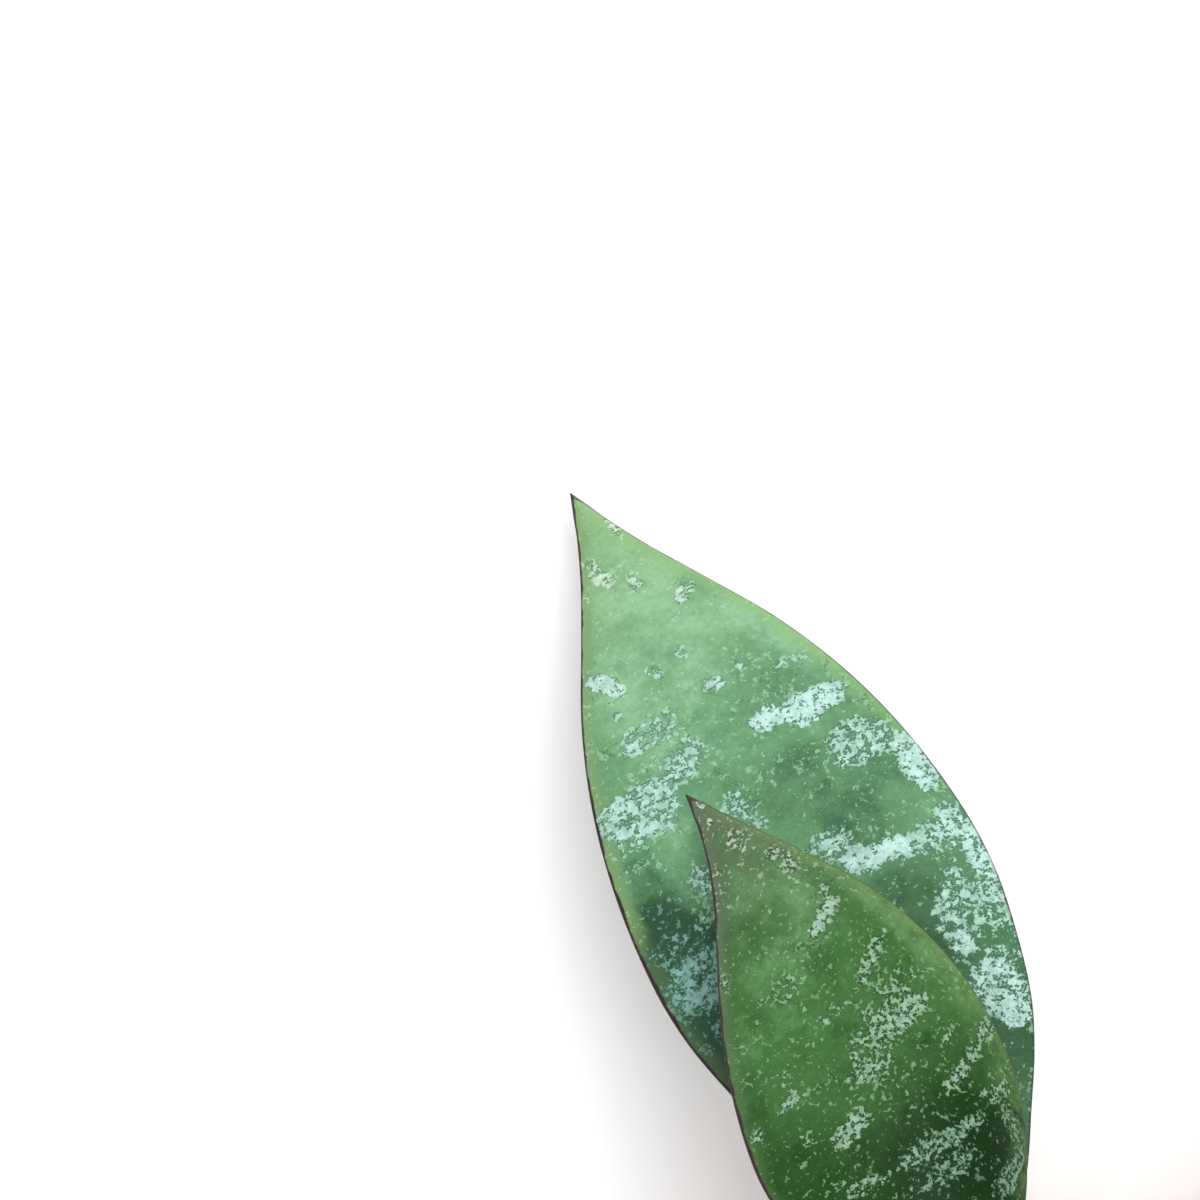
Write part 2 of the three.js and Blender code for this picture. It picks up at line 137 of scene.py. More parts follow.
def tube_faces(rings: int, sides: int) -> Array:
    """Quads of a skin over closed rings of points.

    Args:
        rings: How many rings there are.
        sides: How many points each ring has.

    Returns:
        Four point numbers a row.
    """
    row = np.arange(rings - 1)[:, None] * sides
    j = np.arange(sides)[None, :]
    following = (j + 1) % sides
    quads = np.stack([row + j, row + following, row + sides + following, row + sides + j], axis=-1)
    return quads.reshape(-1, 4)


def plain_mesh(name: str, rings: Array, material: Material) -> Mesh:
    """A closed smooth mesh over rings of points, with both its ends filled and its faces outwards.

    Args:
        name: The mesh's name.
        rings: Points by ring, point of the ring and axis.
        material: Its finish.

    Returns:
        The mesh. Its last two vertices are the middles of its ends.
    """
    count, sides = rings.shape[:2]
    ends = rings[[0, -1]].mean(axis=1)
    points = np.concatenate([rings.reshape(-1, 3), ends])
    quads = tube_faces(count, sides).tolist()
    last = (count - 1) * sides
    for j in range(sides):
        following = (j + 1) % sides
        quads.append([following, j, count * sides])
        quads.append([last + j, last + following, count * sides + 1])
    mesh = bpy.data.meshes.new(name)
    mesh.from_pydata(points.tolist(), [], quads)
    mesh.update()
    flux = sum(face.center.dot(face.normal) * face.area for face in mesh.polygons)
    if flux < 0:
        mesh.flip_normals()
    mesh.shade_smooth()
    mesh.materials.append(material)
    return mesh


def put_attribute(mesh: Mesh, name: str, values: Array) -> None:
    """Stores one number or one vector for each vertex of a mesh.

    Args:
        mesh: The mesh.
        name: The attribute's name, which its finish reads.
        values: One value a vertex, or three.
    """
    vectors = values.ndim == 2
    kind = "FLOAT_VECTOR" if vectors else "FLOAT"
    attribute = mesh.attributes.new(name, kind, "POINT")
    attribute.data.foreach_set("vector" if vectors else "value", values.astype(np.float32).ravel())


def put_object(name: str, data: bpy.types.ID) -> bpy.types.Object:
    """Puts data into the scene as a new object.

    Args:
        name: The object's name.
        data: Its mesh, lamp or camera.

    Returns:
        The object.
    """
    thing = bpy.data.objects.new(name, data)
    bpy.context.scene.collection.objects.link(thing)
    return thing


def place_piece(mesh: Mesh, slot: str, *nodes: str) -> None:
    """Makes a mesh a piece of the plant that rides on its one body.

    Args:
        mesh: The finished mesh, in place. The piece takes its name.
        slot: Not used.
        nodes: The plain solids that it stands for.
    """
    piece = put_object(mesh.name, mesh)
    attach(piece, BODY)
    if nodes:
        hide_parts(*nodes)
    LOG.info("%s: %d faces, for %s", piece.name, len(mesh.polygons), ", ".join(nodes) or "no solid")


@dataclass(frozen=True)
class Noise:
    """A smooth noise: its waves to the metre, its finer layers, their strength, and its weight in a sum."""

    scale: float
    detail: float = 2.0
    roughness: float = 0.5
    weight: float = 1.0


@dataclass(frozen=True)
class Fade:
    """A smooth rise, or fall: where it starts, where it is full, and its strength where it is full."""

    start: float
    full: float
    strength: float = 1.0


class Nodes:
    """A node tree in the making: adds nodes and feeds their sockets."""

    def __init__(self, tree: Tree) -> None:
        """Starts on an empty tree."""
        self.tree = tree
        self.tree.nodes.clear()

    def feed(self, value: Feed, socket: Socket) -> None:
        """Links a socket to the given output, or sets it to the given constant.

        Args:
            value: An output socket or a constant.
            socket: The input that takes it.
        """
        if isinstance(value, Socket):
            self.tree.links.new(value, socket)
        else:
            socket.default_value = value

    def add(
        self, kind: str, feeds: dict[str | int, Feed] | None = None, **settings: object
    ) -> bpy.types.Node:
        """Adds one node.

        Args:
            kind: Its type's name.
            feeds: What goes into its sockets, by socket name or number.
            settings: Its own properties.

        Returns:
            The new node.
        """
        node = self.tree.nodes.new(kind)
        for name, value in settings.items():
            setattr(node, name, value)
        for socket, value in (feeds or {}).items():
            self.feed(value, node.inputs[socket])
        return node

    def math(self, operation: str, first: Feed, second: Feed = 0.0, third: Feed = 0.0) -> Socket:
        """Works out one number."""
        node = self.add("ShaderNodeMath", {0: first, 1: second, 2: third}, operation=operation)
        return node.outputs[0]

    def chain(self, operation: str, values: tuple[Feed, ...]) -> Socket:
        """Works one operation through several numbers, from left to right.

        Args:
            operation: The operation's name.
            values: The numbers.

        Returns:
            The result's socket.
        """
        result = values[0]
        for value in values[1:]:
            result = self.math(operation, result, value)
        return result

    def times(self, *values: Feed) -> Socket:
        """The product of several numbers."""
        return self.chain("MULTIPLY", values)

    def plus(self, *values: Feed) -> Socket:
        """The sum of several numbers."""
        return self.chain("ADD", values)

    def minus(self, first: Feed, second: Feed) -> Socket:
        """The first number less the second."""
        return self.math("SUBTRACT", first, second)

    def most(self, *values: Feed) -> Socket:
        """The largest of several numbers."""
        return self.chain("MAXIMUM", values)

    def line(self, value: Feed, slope: Feed, start: Feed) -> Socket:
        """The value times a slope, added to a start."""
        return self.math("MULTIPLY_ADD", value, slope, start)

    def vector_math(self, operation: str, first: Feed, second: Feed) -> Socket:
        """Works out one vector."""
        node = self.add("ShaderNodeVectorMath", {0: first, 1: second}, operation=operation)
        return node.outputs[0]

    def scaled(self, vector: Feed, size: Feed) -> Socket:
        """A vector times a number."""
        node = self.add("ShaderNodeVectorMath", {0: vector, "Scale": size}, operation="SCALE")
        return node.outputs[0]

    def split(self, vector: Feed) -> bpy.types.NodeOutputs:
        """The three numbers of a vector, by the names X, Y and Z."""
        return self.add("ShaderNodeSeparateXYZ", {0: vector}).outputs

    def join(self, **numbers: Feed) -> Socket:
        """A vector of up to three numbers, given by the names X, Y and Z."""
        return self.add("ShaderNodeCombineXYZ", numbers).outputs[0]

    def ease(self, value: Feed, start: Feed, full: Feed) -> Socket:
        """Smooth rise from 0 to 1 between two values, or fall where the first is the larger."""
        feeds = {"Value": value, "From Min": start, "From Max": full}
        return self.add("ShaderNodeMapRange", feeds, interpolation_type="SMOOTHSTEP").outputs[0]

    def fade(self, value: Feed, fade: Fade) -> Socket:
        """A named rise of a value, at its strength."""
        share = self.ease(value, fade.start, fade.full)
        return share if fade.strength == 1.0 else self.times(share, fade.strength)

    def ramp(self, value: Feed, to: Span, start: Span = (0.0, 1.0), clamp: bool = True) -> Socket:
        """Straight change from one pair of values to another."""
        feeds = {"Value": value, "From Min": start[0], "From Max": start[1], "To Min": to[0], "To Max": to[1]}
        return self.add("ShaderNodeMapRange", feeds, clamp=clamp).outputs[0]

    def noise(self, vector: Feed, noise: Noise) -> Socket:
        """Smooth noise with a middle of one half."""
        feeds = {"Vector": vector, "Scale": noise.scale, "Detail": noise.detail, "Roughness": noise.roughness}
        return self.add("ShaderNodeTexNoise", feeds).outputs[0]

    def swing(self, vector: Feed, noise: Noise) -> Socket:
        """The noise with its middle at zero."""
        return self.minus(self.noise(vector, noise), HALF)

    def patches(self, vector: Feed, noise: Noise, fade: Fade) -> Socket:
        """Soft-edged patches of a noise, where it passes the fade."""
        return self.fade(self.noise(vector, noise), fade)

    def weighed(self, vector: Feed, noise: Noise) -> Socket:
        """The noise at its own weight."""
        return self.times(self.noise(vector, noise), noise.weight)

    def onto(self, base: Feed, vector: Feed, noise: Noise) -> Socket:
        """A number with the noise added at its own weight."""
        return self.line(self.noise(vector, noise), noise.weight, base)


class FinishNodes(Nodes):
    """The shader nodes of one material, round one principled surface."""

    MIX_INPUTS = (0, 6, 7)
    MIX_OUTPUT = 2

    def __init__(self, name: str) -> None:
        """Makes the material and its surface.

        Args:
            name: The material's name.
        """
        self.material = bpy.data.materials.new(name)
        self.material.use_nodes = True
        super().__init__(self.material.node_tree)
        self.surface = self.add("ShaderNodeBsdfPrincipled")
        self.add("ShaderNodeOutputMaterial", {"Surface": self.surface.outputs[0]})

    def shade(self, **feeds: Feed) -> Material:
        """Feeds the surface's sockets.

        Args:
            feeds: Values by socket name, with underscores for its spaces.

        Returns:
            The finished material.
        """
        for name, value in feeds.items():
            self.feed(value, self.surface.inputs[name.replace("_", " ")])
        return self.material

    def place(self) -> Socket:
        """Position on the object, in metres."""
        return self.add("ShaderNodeTexCoord").outputs["Object"]

    def read(self, name: str, vector: bool = False) -> Socket:
        """Reads an attribute of the mesh."""
        node = self.add("ShaderNodeAttribute", attribute_name=name)
        return node.outputs["Vector" if vector else "Fac"]

    def mix(self, share: Feed, first: Feed, second: Feed) -> Socket:
        """Blends two colours."""
        feeds = dict(zip(self.MIX_INPUTS, (share, first, second)))
        return self.add("ShaderNodeMix", feeds, data_type="RGBA").outputs[self.MIX_OUTPUT]

    def cells(self, vector: Feed, scale: float) -> bpy.types.NodeOutputs:
        """Distance to the nearest of scattered points, and the colour of its cell."""
        return self.add("ShaderNodeTexVoronoi", {"Vector": vector, "Scale": scale}).outputs

    def shaped(self, vector: Feed, shape: Point) -> Socket:
        """Places squeezed or drawn out along each axis."""
        return self.add("ShaderNodeMapping", {0: vector, "Scale": shape}).outputs[0]

    def bump(self, height: Feed, depth: float) -> Socket:
        """Turns a height from 0 to 1 into relief."""
        return self.add("ShaderNodeBump", {"Height": height, "Distance": depth}).outputs[0]


class GrowthNodes(Nodes):
    """A Geometry Nodes tree from a mesh to a mesh, with named inputs for its sizes."""

    KINDS = {
        "INT": "NodeSocketInt",
        "FLOAT": "NodeSocketFloat",
        "MATERIAL": "NodeSocketMaterial",
        "MESH": "NodeSocketGeometry",
    }

    def __init__(self, name: str, **inputs: str) -> None:
        """Makes the tree and its sockets.

        Args:
            name: The tree's name.
            inputs: The kind of each input, by its name with underscores for spaces.
        """
        super().__init__(bpy.data.node_groups.new(name, "GeometryNodeTree"))
        self.tree.interface.new_socket("Mesh", in_out="OUTPUT", socket_type=self.KINDS["MESH"])
        self.tree.interface.new_socket("Mesh", in_out="INPUT", socket_type=self.KINDS["MESH"])
        for label, kind in inputs.items():
            title = label.replace("_", " ")
            self.tree.interface.new_socket(title, in_out="INPUT", socket_type=self.KINDS[kind])
        self.given = self.add("NodeGroupInput").outputs

    def chance(self, low: Feed, high: Feed, seed: Feed, vector: bool = False) -> Socket:
        """A random number or vector for each element.

        Args:
            low: The least it can be.
            high: The most it can be.
            seed: What it is drawn from.
            vector: Whether it is a vector.

        Returns:
            The value's socket.
        """
        kind, least, largest, drawn = ("FLOAT_VECTOR", 0, 1, 0) if vector else ("FLOAT", 2, 3, 1)
        feeds = {least: low, largest: high, "Seed": seed}
        return self.add("FunctionNodeRandomValue", feeds, data_type=kind).outputs[drawn]

    def position(self) -> Socket:
        """Where each point is."""
        return self.add("GeometryNodeInputPosition").outputs[0]

    def moved(self, geometry: Feed, offset: Feed) -> Socket:
        """The geometry with its points moved by an offset."""
        return self.add("GeometryNodeSetPosition", {"Geometry": geometry, "Offset": offset}).outputs[0]

    def finish(self, geometry: Feed) -> Tree:
        """Realizes every instance, sets the material and closes the tree.

        Args:
            geometry: What was grown.

        Returns:
            The finished tree.
        """
        real = self.add("GeometryNodeRealizeInstances", {0: geometry}).outputs[0]
        smooth = self.add("GeometryNodeSetShadeSmooth", {0: real}).outputs[0]
        dressed = self.add("GeometryNodeSetMaterial", {0: smooth, "Material": self.given["Finish"]})
        self.add("NodeGroupOutput", {0: dressed.outputs[0]})
        return self.tree


def grow(name: str, start: Mesh, tree: Tree, **sizes: object) -> Mesh:
    """Runs a Geometry Nodes tree on a mesh and keeps its result as a plain mesh.

    Args:
        name: The result's name.
        start: The mesh that the tree starts from.
        tree: The tree.
        sizes: Values of its inputs, by name with underscores for spaces.

    Returns:
        The grown mesh.
    """
    holder = put_object(name + "_start", start)
    modifier = holder.modifiers.new("growth", "NODES")
    modifier.node_group = tree
    for item in tree.interface.items_tree:
        label = item.name.replace(" ", "_")
        if item.in_out == "INPUT" and label in sizes:
            modifier[item.identifier] = sizes[label]
    evaluated = holder.evaluated_get(bpy.context.evaluated_depsgraph_get())
    mesh = bpy.data.meshes.new_from_object(evaluated)
    mesh.name = name
    holder.modifiers.remove(modifier)
    bpy.data.objects.remove(holder)
    return mesh


class Tone(Enum):
    """The greens that a leaf can have."""

    BLUE_GREEN = "blue_green"
    OLIVE = "olive"
    YOUNG = "young"


class LeafNodes(FinishNodes):
    """The nodes of a leaf's material, with what its mesh tells of each place on the blade."""

    def __init__(self, name: str) -> None:
        """Starts a material and reads the mesh's attributes.

        Args:
            name: The material's name.
        """
        super().__init__(name)
        self.blade = self.read("place", vector=True)
        self.along, self.margin, self.side = (self.read(kind) for kind in ("along", "margin", "side"))


@dataclass(frozen=True)
class LeafFinish:
    """Thick satin leaf: mottled green with painted shade where it is deeply clouded, ragged silver flecks
    with pinholes, and a dark line round its margin.

    The fades that read where a place lies use the share of the way to the tip, the side from the right
    margin, -1, to the left one, 1, and the distance to the margin in metres.
    """

    tone: Tone
    foot: Colour
    deep: Colour
    middle: Colour
    pale: Colour
    tip: Colour
    cool: Colour = screen(56, 104, 86)
    silver: Colour = screen(180, 212, 204)
    silver_in_shadow: Colour = screen(104, 146, 146)
    tip_silver: Colour = screen(200, 222, 192)
    speck: Colour = screen(158, 202, 164)
    pit: Colour = screen(56, 98, 70)
    band: Colour = screen(100, 126, 76)
    right_band: Colour = screen(124, 162, 104)
    margin: Colour = screen(42, 30, 30)
    underside: Colour = screen(104, 128, 88)
    flush: Colour = screen(98, 66, 72)
    stalk: Colour = screen(82, 90, 54)
    stalk_cork: Colour = screen(120, 104, 74)
    band_width: float = 0.0042
    edging: float = 0.3
    ridge_highlight: float = 0.0
    gloss: float = 0.22
    ridge_highlight_colour: Colour = screen(112, 146, 84)

    CLOUDS_PAST_MARGIN = Fade(0.0, 0.0046)
    RIGHT_HALF = Fade(0.2, -0.2)
    LEFT_HALF = Fade(-0.2, 0.2)
    NEAR_FOOT = Fade(0.5, 0.42)
    PAST_FOOT = Fade(0.15, 0.55)
    BROAD = Noise(62.0, 4.0, 0.6, weight=1.4)
    MOTTLE = Noise(260.0, 4.0, 0.68, weight=1.1)
    TO_DEEP = Fade(1.25, 0.5)
    TO_PALE = Fade(1.25, 1.9)
    TO_TIP = Fade(0.62, 1.0, 0.75)
    COOL_SHIFT = (0.3, 0.1, 0.7)
    COOL = Noise(110.0, 4.0, 0.62)
    TO_COOL = Fade(0.5, 0.72)
    COOL_BEFORE_TIP = Fade(1.0, 0.75)
    COOL_IN_CLOUDS_AND_SHADE = Fade(-0.5, -1.4)
    COOL_STRENGTH = 0.36
    GRAIN = Noise(900.0, 5.0, 0.75)
    GRAIN_LIGHT = (0.66, 1.34)
    DEEP_CLOUD_AND_SHADE = (-1.0, 0.0)
    DEEP_CLOUD_AND_SHADE_LIGHT = (0.56, 1.0)

    RAG = Noise(420.0, 5.0, 0.7, weight=1.8)
    BAYS = Noise(190.0, weight=1.2)
    CLUSTER = Fade(0.22, 0.5)
    COVER_SLOPE = 0.72
    LEAST_COVER = 0.16

    STRAY_SHIFT = (0.9, 0.5, 0.2)
    STRAYS = Noise(120.0, 5.0, 0.72)
    TO_STRAYS = Fade(0.44, 0.74)
    WINDING = Noise(105.0, 3.0, 0.6)
    ON_WINDING = Fade(0.035, 0.0)
    CHAINS = Noise(75.0)
    TO_CHAINS = Fade(0.44, 0.56)
    GROUPS = Noise(48.0)
    TO_GROUPS = Fade(0.4, 0.6)
    SPREAD_SLOPE = 0.26
    LEAST_SPREAD = 0.27
    GROUP_SLOPE = 0.16
    NETS = (
        (Noise(1250.0, 2.5, 0.6), Fade(0.9, 1.2), 1.0),
        (Noise(2500.0, 2.5, 0.6), Fade(1.1, 1.46), 0.64),
    )
    NET_RANGE = (0.36, 0.64)
    RIM = Fade(0.48, 0.8)
    RIMS_BY_COVER = Fade(0.25, 0.6)
    JITTER_SCALE = 1100.0
    JITTER = 0.0016
    SPECK_CELLS = 400.0
    SPECK_SIZE = Fade(0.66, 1.15, 0.36)
    SPECK_EDGE = Fade(-0.02, 0.1)
    SPECK_STRENGTH = Fade(-0.1, 1.1)
    SPECK_GROUPING = 0.6
    LONE_SPECK = 0.4

    BAND = Noise(130.0, 3.0, 0.6)
    BAND_EDGE = Fade(0.0012, -0.0012)
    RIGHT_BAND = Fade(0.35, 0.65)
    DIM = Fade(-0.3, -1.1)
    DIM_SLOPE = -0.5
    BAND_STRENGTH = 0.7
    EDGING = Fade(0.0035, 0.0)
    EDGING_ALONG = Fade(0.3, 0.85)
    EDGING_LEFT = Fade(-0.5, 0.5)
    EDGING_TIP = Fade(0.76, 0.94)
    WRINKLES = Noise(300.0, 5.0, 0.75)
    TO_WRINKLES = Fade(0.36, 0.62)
    RIDGE_HIGHLIGHT = Fade(-0.66, -0.9)
    PIT_STRENGTH = 0.78
    SILVER_GRAIN = Noise(620.0, 6.0, 0.9)
    SILVER_BY_COVER = 0.24
    TO_SILVER = Fade(0.1, 0.75)
    TIP_SILVER = Fade(0.66, 0.9, 0.8)
    SHADED_SILVER = 0.8
    BRIGHT = Fade(0.46, 0.86)
    THIN_SILVER = 0.38
    FLUSH = Noise(60.0, 4.0, 0.6)
    TO_FLUSH = Fade(0.42, 0.66)
    WAVERING = Noise(300.0, 3.0)
    LINE_ACROSS = (-1.0, 1.0)
    LINE_WIDTH = (0.00045, 0.001)
    LINE_TIP = Fade(0.955, 1.0)
    LINE_TIP_WIDTH = 0.0005
    LINE_EDGE = Fade(0.00015, -0.00015)
    LINE_LEFT = Fade(-0.6, 0.2)
    LINE_SLOPE = 0.3
    LEAST_LINE = 0.7
    CORK = Noise(900.0, 3.0, 0.7)
    TO_CORK = Fade(0.5, 0.66)
    RELIEF = Noise(700.0, 4.0, 0.6)
    FLECK_RELIEF = 0.25
    RELIEF_DEPTH = 0.0002
    ROUGHNESS = (0.46, 0.6)

    def clouds(self, nodes: LeafNodes) -> Socket:
        """How much paler or deeper the green is there, painted shadow on the rear leaf included, fading out
        towards the outer half's left margin.

        Args:
            nodes: The material's nodes.

        Returns:
            The strength's socket.
        """
        kept = nodes.most(
            nodes.fade(nodes.margin, self.CLOUDS_PAST_MARGIN),
            nodes.fade(nodes.side, self.RIGHT_HALF),
            nodes.fade(nodes.along, self.NEAR_FOOT),
        )
        return nodes.times(nodes.read("clouds"), kept)

    def green(self, nodes: LeafNodes) -> Socket:
        """The mottled green of the upper face, deeper towards the foot and paler towards the tip, and darker
        and cooler as painted shade where the cloud strength is deep.

        Args:
            nodes: The material's nodes.

        Returns:
            The colour's socket.
        """
        body = nodes.mix(nodes.fade(nodes.along, self.PAST_FOOT), self.foot, self.middle)
        clouds = self.clouds(nodes)
        level = nodes.onto(nodes.onto(clouds, nodes.blade, self.BROAD), nodes.blade, self.MOTTLE)
        green = nodes.mix(nodes.fade(level, self.TO_DEEP), body, self.deep)
        green = nodes.mix(nodes.fade(level, self.TO_PALE), green, self.pale)
        green = nodes.mix(nodes.fade(nodes.along, self.TO_TIP), green, self.tip)
        cool = nodes.patches(nodes.vector_math("ADD", nodes.blade, self.COOL_SHIFT), self.COOL, self.TO_COOL)
        cool = nodes.times(cool, nodes.fade(nodes.along, self.COOL_BEFORE_TIP))
        # Painted shade: deep, dark cloud strength, the painted shadow included, tints the green cool teal.
        cool = nodes.most(cool, nodes.fade(clouds, self.COOL_IN_CLOUDS_AND_SHADE))
        green = nodes.mix(nodes.times(cool, self.COOL_STRENGTH), green, self.cool)
        light = nodes.ramp(nodes.noise(nodes.blade, self.GRAIN), self.GRAIN_LIGHT)
        # Painted shade: the green darkens where the cloud strength is negative, most in the painted shadow on
        # the rear leaf.
        shade = nodes.ramp(clouds, self.DEEP_CLOUD_AND_SHADE_LIGHT, self.DEEP_CLOUD_AND_SHADE)
        return nodes.scaled(green, nodes.times(light, shade))

    def cover(self, nodes: LeafNodes, silver: Feed) -> Socket:
        """Share of the surface that silver covers in the clusters, ragged at their edges.

        Args:
            nodes: The material's nodes.
            silver: How dense the clusters are there.

        Returns:
            The share's socket.
        """
        rag = nodes.times(nodes.swing(nodes.blade, self.RAG), self.RAG.weight)
        rag = nodes.line(nodes.swing(nodes.blade, self.BAYS), self.BAYS.weight, rag)
        edge = nodes.fade(nodes.plus(rag, silver), self.CLUSTER)
        return nodes.times(edge, nodes.line(silver, self.COVER_SLOPE, self.LEAST_COVER))

    def flecks(self, nodes: LeafNodes, cover: Feed) -> tuple[Socket, Socket]:
        """Where silver shows: a net that closes where the cover is full, strays between, and single specks.

        Args:
            nodes: The material's nodes.
            cover: Share of the surface that the clusters cover.

        Returns:
            The silver's strength, and the strength of the dark rims and pinholes beside it.
        """
        elsewhere = nodes.vector_math("ADD", nodes.blade, self.STRAY_SHIFT)
        winding = nodes.math("ABSOLUTE", nodes.swing(elsewhere, self.WINDING))
        chains = nodes.patches(nodes.blade, self.CHAINS, self.TO_CHAINS)
        chain = nodes.times(nodes.fade(winding, self.ON_WINDING), chains)
        stray = nodes.most(nodes.patches(elsewhere, self.STRAYS, self.TO_STRAYS), chain)
        groups = nodes.patches(elsewhere, self.GROUPS, self.TO_GROUPS)
        thick = nodes.line(nodes.read("spread"), self.SPREAD_SLOPE, self.LEAST_SPREAD)
        thick = nodes.line(groups, self.GROUP_SLOPE, thick)
        whole = nodes.most(cover, nodes.times(stray, thick))
        flecks, levels = [], []
        for noise, fade, strength in self.NETS:
            net = nodes.ramp(nodes.noise(nodes.blade, noise), (0.0, 1.0), self.NET_RANGE, clamp=False)
            levels.append(nodes.plus(net, whole))
            flecks.append(nodes.times(nodes.fade(levels[-1], fade), strength))
        rims = nodes.times(nodes.fade(levels[0], self.RIM), nodes.fade(whole, self.RIMS_BY_COVER))
        return nodes.most(*flecks, self.specks(nodes, groups)), rims

    def specks(self, nodes: LeafNodes, groups: Feed) -> Socket:
        """Single specks, more of them within the groups.

        Args:
            nodes: The material's nodes.
            groups: Where the groups lie.

        Returns:
            The specks' strength.
        """
        feeds = {"Vector": nodes.blade, "Scale": self.JITTER_SCALE}
        jitter = nodes.add("ShaderNodeTexNoise", feeds).outputs["Color"]
        uneven = nodes.vector_math("ADD", nodes.blade, nodes.scaled(jitter, self.JITTER))
        speck = nodes.cells(uneven, self.SPECK_CELLS)
        chance = nodes.split(speck["Color"])
        size = nodes.fade(chance["X"], self.SPECK_SIZE)
        spot = nodes.fade(nodes.minus(size, speck["Distance"]), self.SPECK_EDGE)
        spot = nodes.times(spot, nodes.fade(chance["Y"], self.SPECK_STRENGTH))
        return nodes.times(spot, nodes.line(groups, self.SPECK_GROUPING, self.LONE_SPECK))

    def edged(self, nodes: LeafNodes, green: Feed, dim: Feed) -> Socket:
        """The green with its paler band, its edging, and its ridge down the right margin, whose paler streaks
        are partly a painted highlight.

        Args:
            nodes: The material's nodes.
            green: The green between the margins.
            dim: How deep the dark clouding and the painted shadow are there.

        Returns:
            The colour's socket.
        """
        width = nodes.times(nodes.noise(nodes.blade, self.BAND), self.band_width)
        band = nodes.fade(nodes.minus(nodes.margin, width), self.BAND_EDGE)
        edge = nodes.mix(nodes.fade(nodes.side, self.LEFT_HALF), self.right_band, self.band)
        shown = nodes.most(nodes.fade(nodes.side, self.LEFT_HALF), nodes.fade(nodes.along, self.RIGHT_BAND))
        # Painted shade: the band weakens in the painted shadow.
        kept = nodes.line(dim, self.DIM_SLOPE, self.BAND_STRENGTH)
        green = nodes.mix(nodes.times(band, shown, kept), green, edge)
        near = nodes.fade(nodes.margin, self.EDGING)
        edging = nodes.times(near, nodes.fade(nodes.along, self.EDGING_ALONG))
        sided = nodes.most(nodes.fade(nodes.side, self.EDGING_LEFT), nodes.fade(nodes.along, self.EDGING_TIP))
        green = nodes.mix(nodes.times(edging, sided, self.edging), green, self.tip)
        wrinkles = nodes.patches(nodes.blade, self.WRINKLES, self.TO_WRINKLES)
        # Partly painted highlight: paler streaks on the downturned right margin.
        ridge_highlight = nodes.times(nodes.fade(nodes.side, self.RIDGE_HIGHLIGHT), wrinkles, self.ridge_highlight)
        return nodes.mix(ridge_highlight, green, self.ridge_highlight_colour)

    def silvered(self, nodes: LeafNodes, green: Feed, dim: Feed, cover: Feed, flecks: Feed) -> Socket:
        """The green with its silver.

        Args:
            nodes: The material's nodes.
            green: The green with its pits.
            dim: How deep the dark clouding and the painted shadow are there.
            cover: Share of the surface that the clusters cover.
            flecks: Where silver shows.

        Returns:
            The colour's socket.
        """
        grain = nodes.noise(nodes.blade, self.SILVER_GRAIN)
        bright = nodes.plus(grain, nodes.times(cover, self.SILVER_BY_COVER))
        pale = nodes.mix(nodes.fade(cover, self.TO_SILVER), self.speck, self.silver)
        pale = nodes.mix(nodes.fade(nodes.along, self.TIP_SILVER), pale, self.tip_silver)
        # Painted shade: in the painted shadow the silver dims to a bluish tone.
        pale = nodes.mix(nodes.times(dim, self.SHADED_SILVER), pale, self.silver_in_shadow)
        silver = nodes.mix(nodes.fade(bright, self.BRIGHT), nodes.mix(self.THIN_SILVER, green, pale), pale)
        return nodes.mix(flecks, green, silver)

    def margin_line(self, nodes: LeafNodes) -> Socket:
        """The wavering dark line round the margin, thickest at the tip; its extra width and strength on the
        left are painted shade on the blade's edge.

        Args:
            nodes: The material's nodes.

        Returns:
            The line's strength.
        """
        # Painted shade: the line is wider and stronger on the left, where the blade's edge is shaded.
        thick = nodes.ramp(nodes.side, self.LINE_WIDTH, self.LINE_ACROSS)
        wavering = nodes.times(nodes.noise(nodes.blade, self.WAVERING), thick)
        tip = nodes.fade(nodes.along, self.LINE_TIP)
        wavering = nodes.line(tip, self.LINE_TIP_WIDTH, wavering)
        line = nodes.fade(nodes.minus(nodes.margin, wavering), self.LINE_EDGE)
        strength = nodes.line(nodes.fade(nodes.side, self.LINE_LEFT), self.LINE_SLOPE, self.LEAST_LINE)
        return nodes.times(line, strength)

    def material(self) -> Material:
        """The finished material."""
        nodes = LeafNodes(f"leaf_{self.tone.value}")
        under = nodes.read("under")
        # dim: strength of the painted shade, from the deep, dark cloud strength.
        dim = nodes.fade(self.clouds(nodes), self.DIM)
        green = self.edged(nodes, self.green(nodes), dim)
        cover = self.cover(nodes, nodes.read("silver"))
        flecks, rims = self.flecks(nodes, cover)
        flecks = nodes.times(flecks, nodes.minus(1.0, under))
        green = nodes.mix(nodes.times(rims, self.PIT_STRENGTH), green, self.pit)
        colour = self.silvered(nodes, green, dim, cover, flecks)
        back = nodes.mix(nodes.patches(nodes.blade, self.FLUSH, self.TO_FLUSH), self.underside, self.flush)
        colour = nodes.mix(under, colour, back)
        colour = nodes.mix(self.margin_line(nodes), colour, self.margin)
        stalk = nodes.mix(nodes.patches(nodes.blade, self.CORK, self.TO_CORK), self.stalk, self.stalk_cork)
        colour = nodes.mix(nodes.read("stalk"), colour, stalk)
        relief = nodes.plus(nodes.noise(nodes.blade, self.RELIEF), nodes.times(flecks, self.FLECK_RELIEF))
        return nodes.shade(
            Base_Color=colour,
            Roughness=nodes.ramp(flecks, self.ROUGHNESS),
            Normal=nodes.bump(relief, self.RELIEF_DEPTH),
            IOR=REFRACTION,
            Specular_IOR_Level=self.gloss,
        )


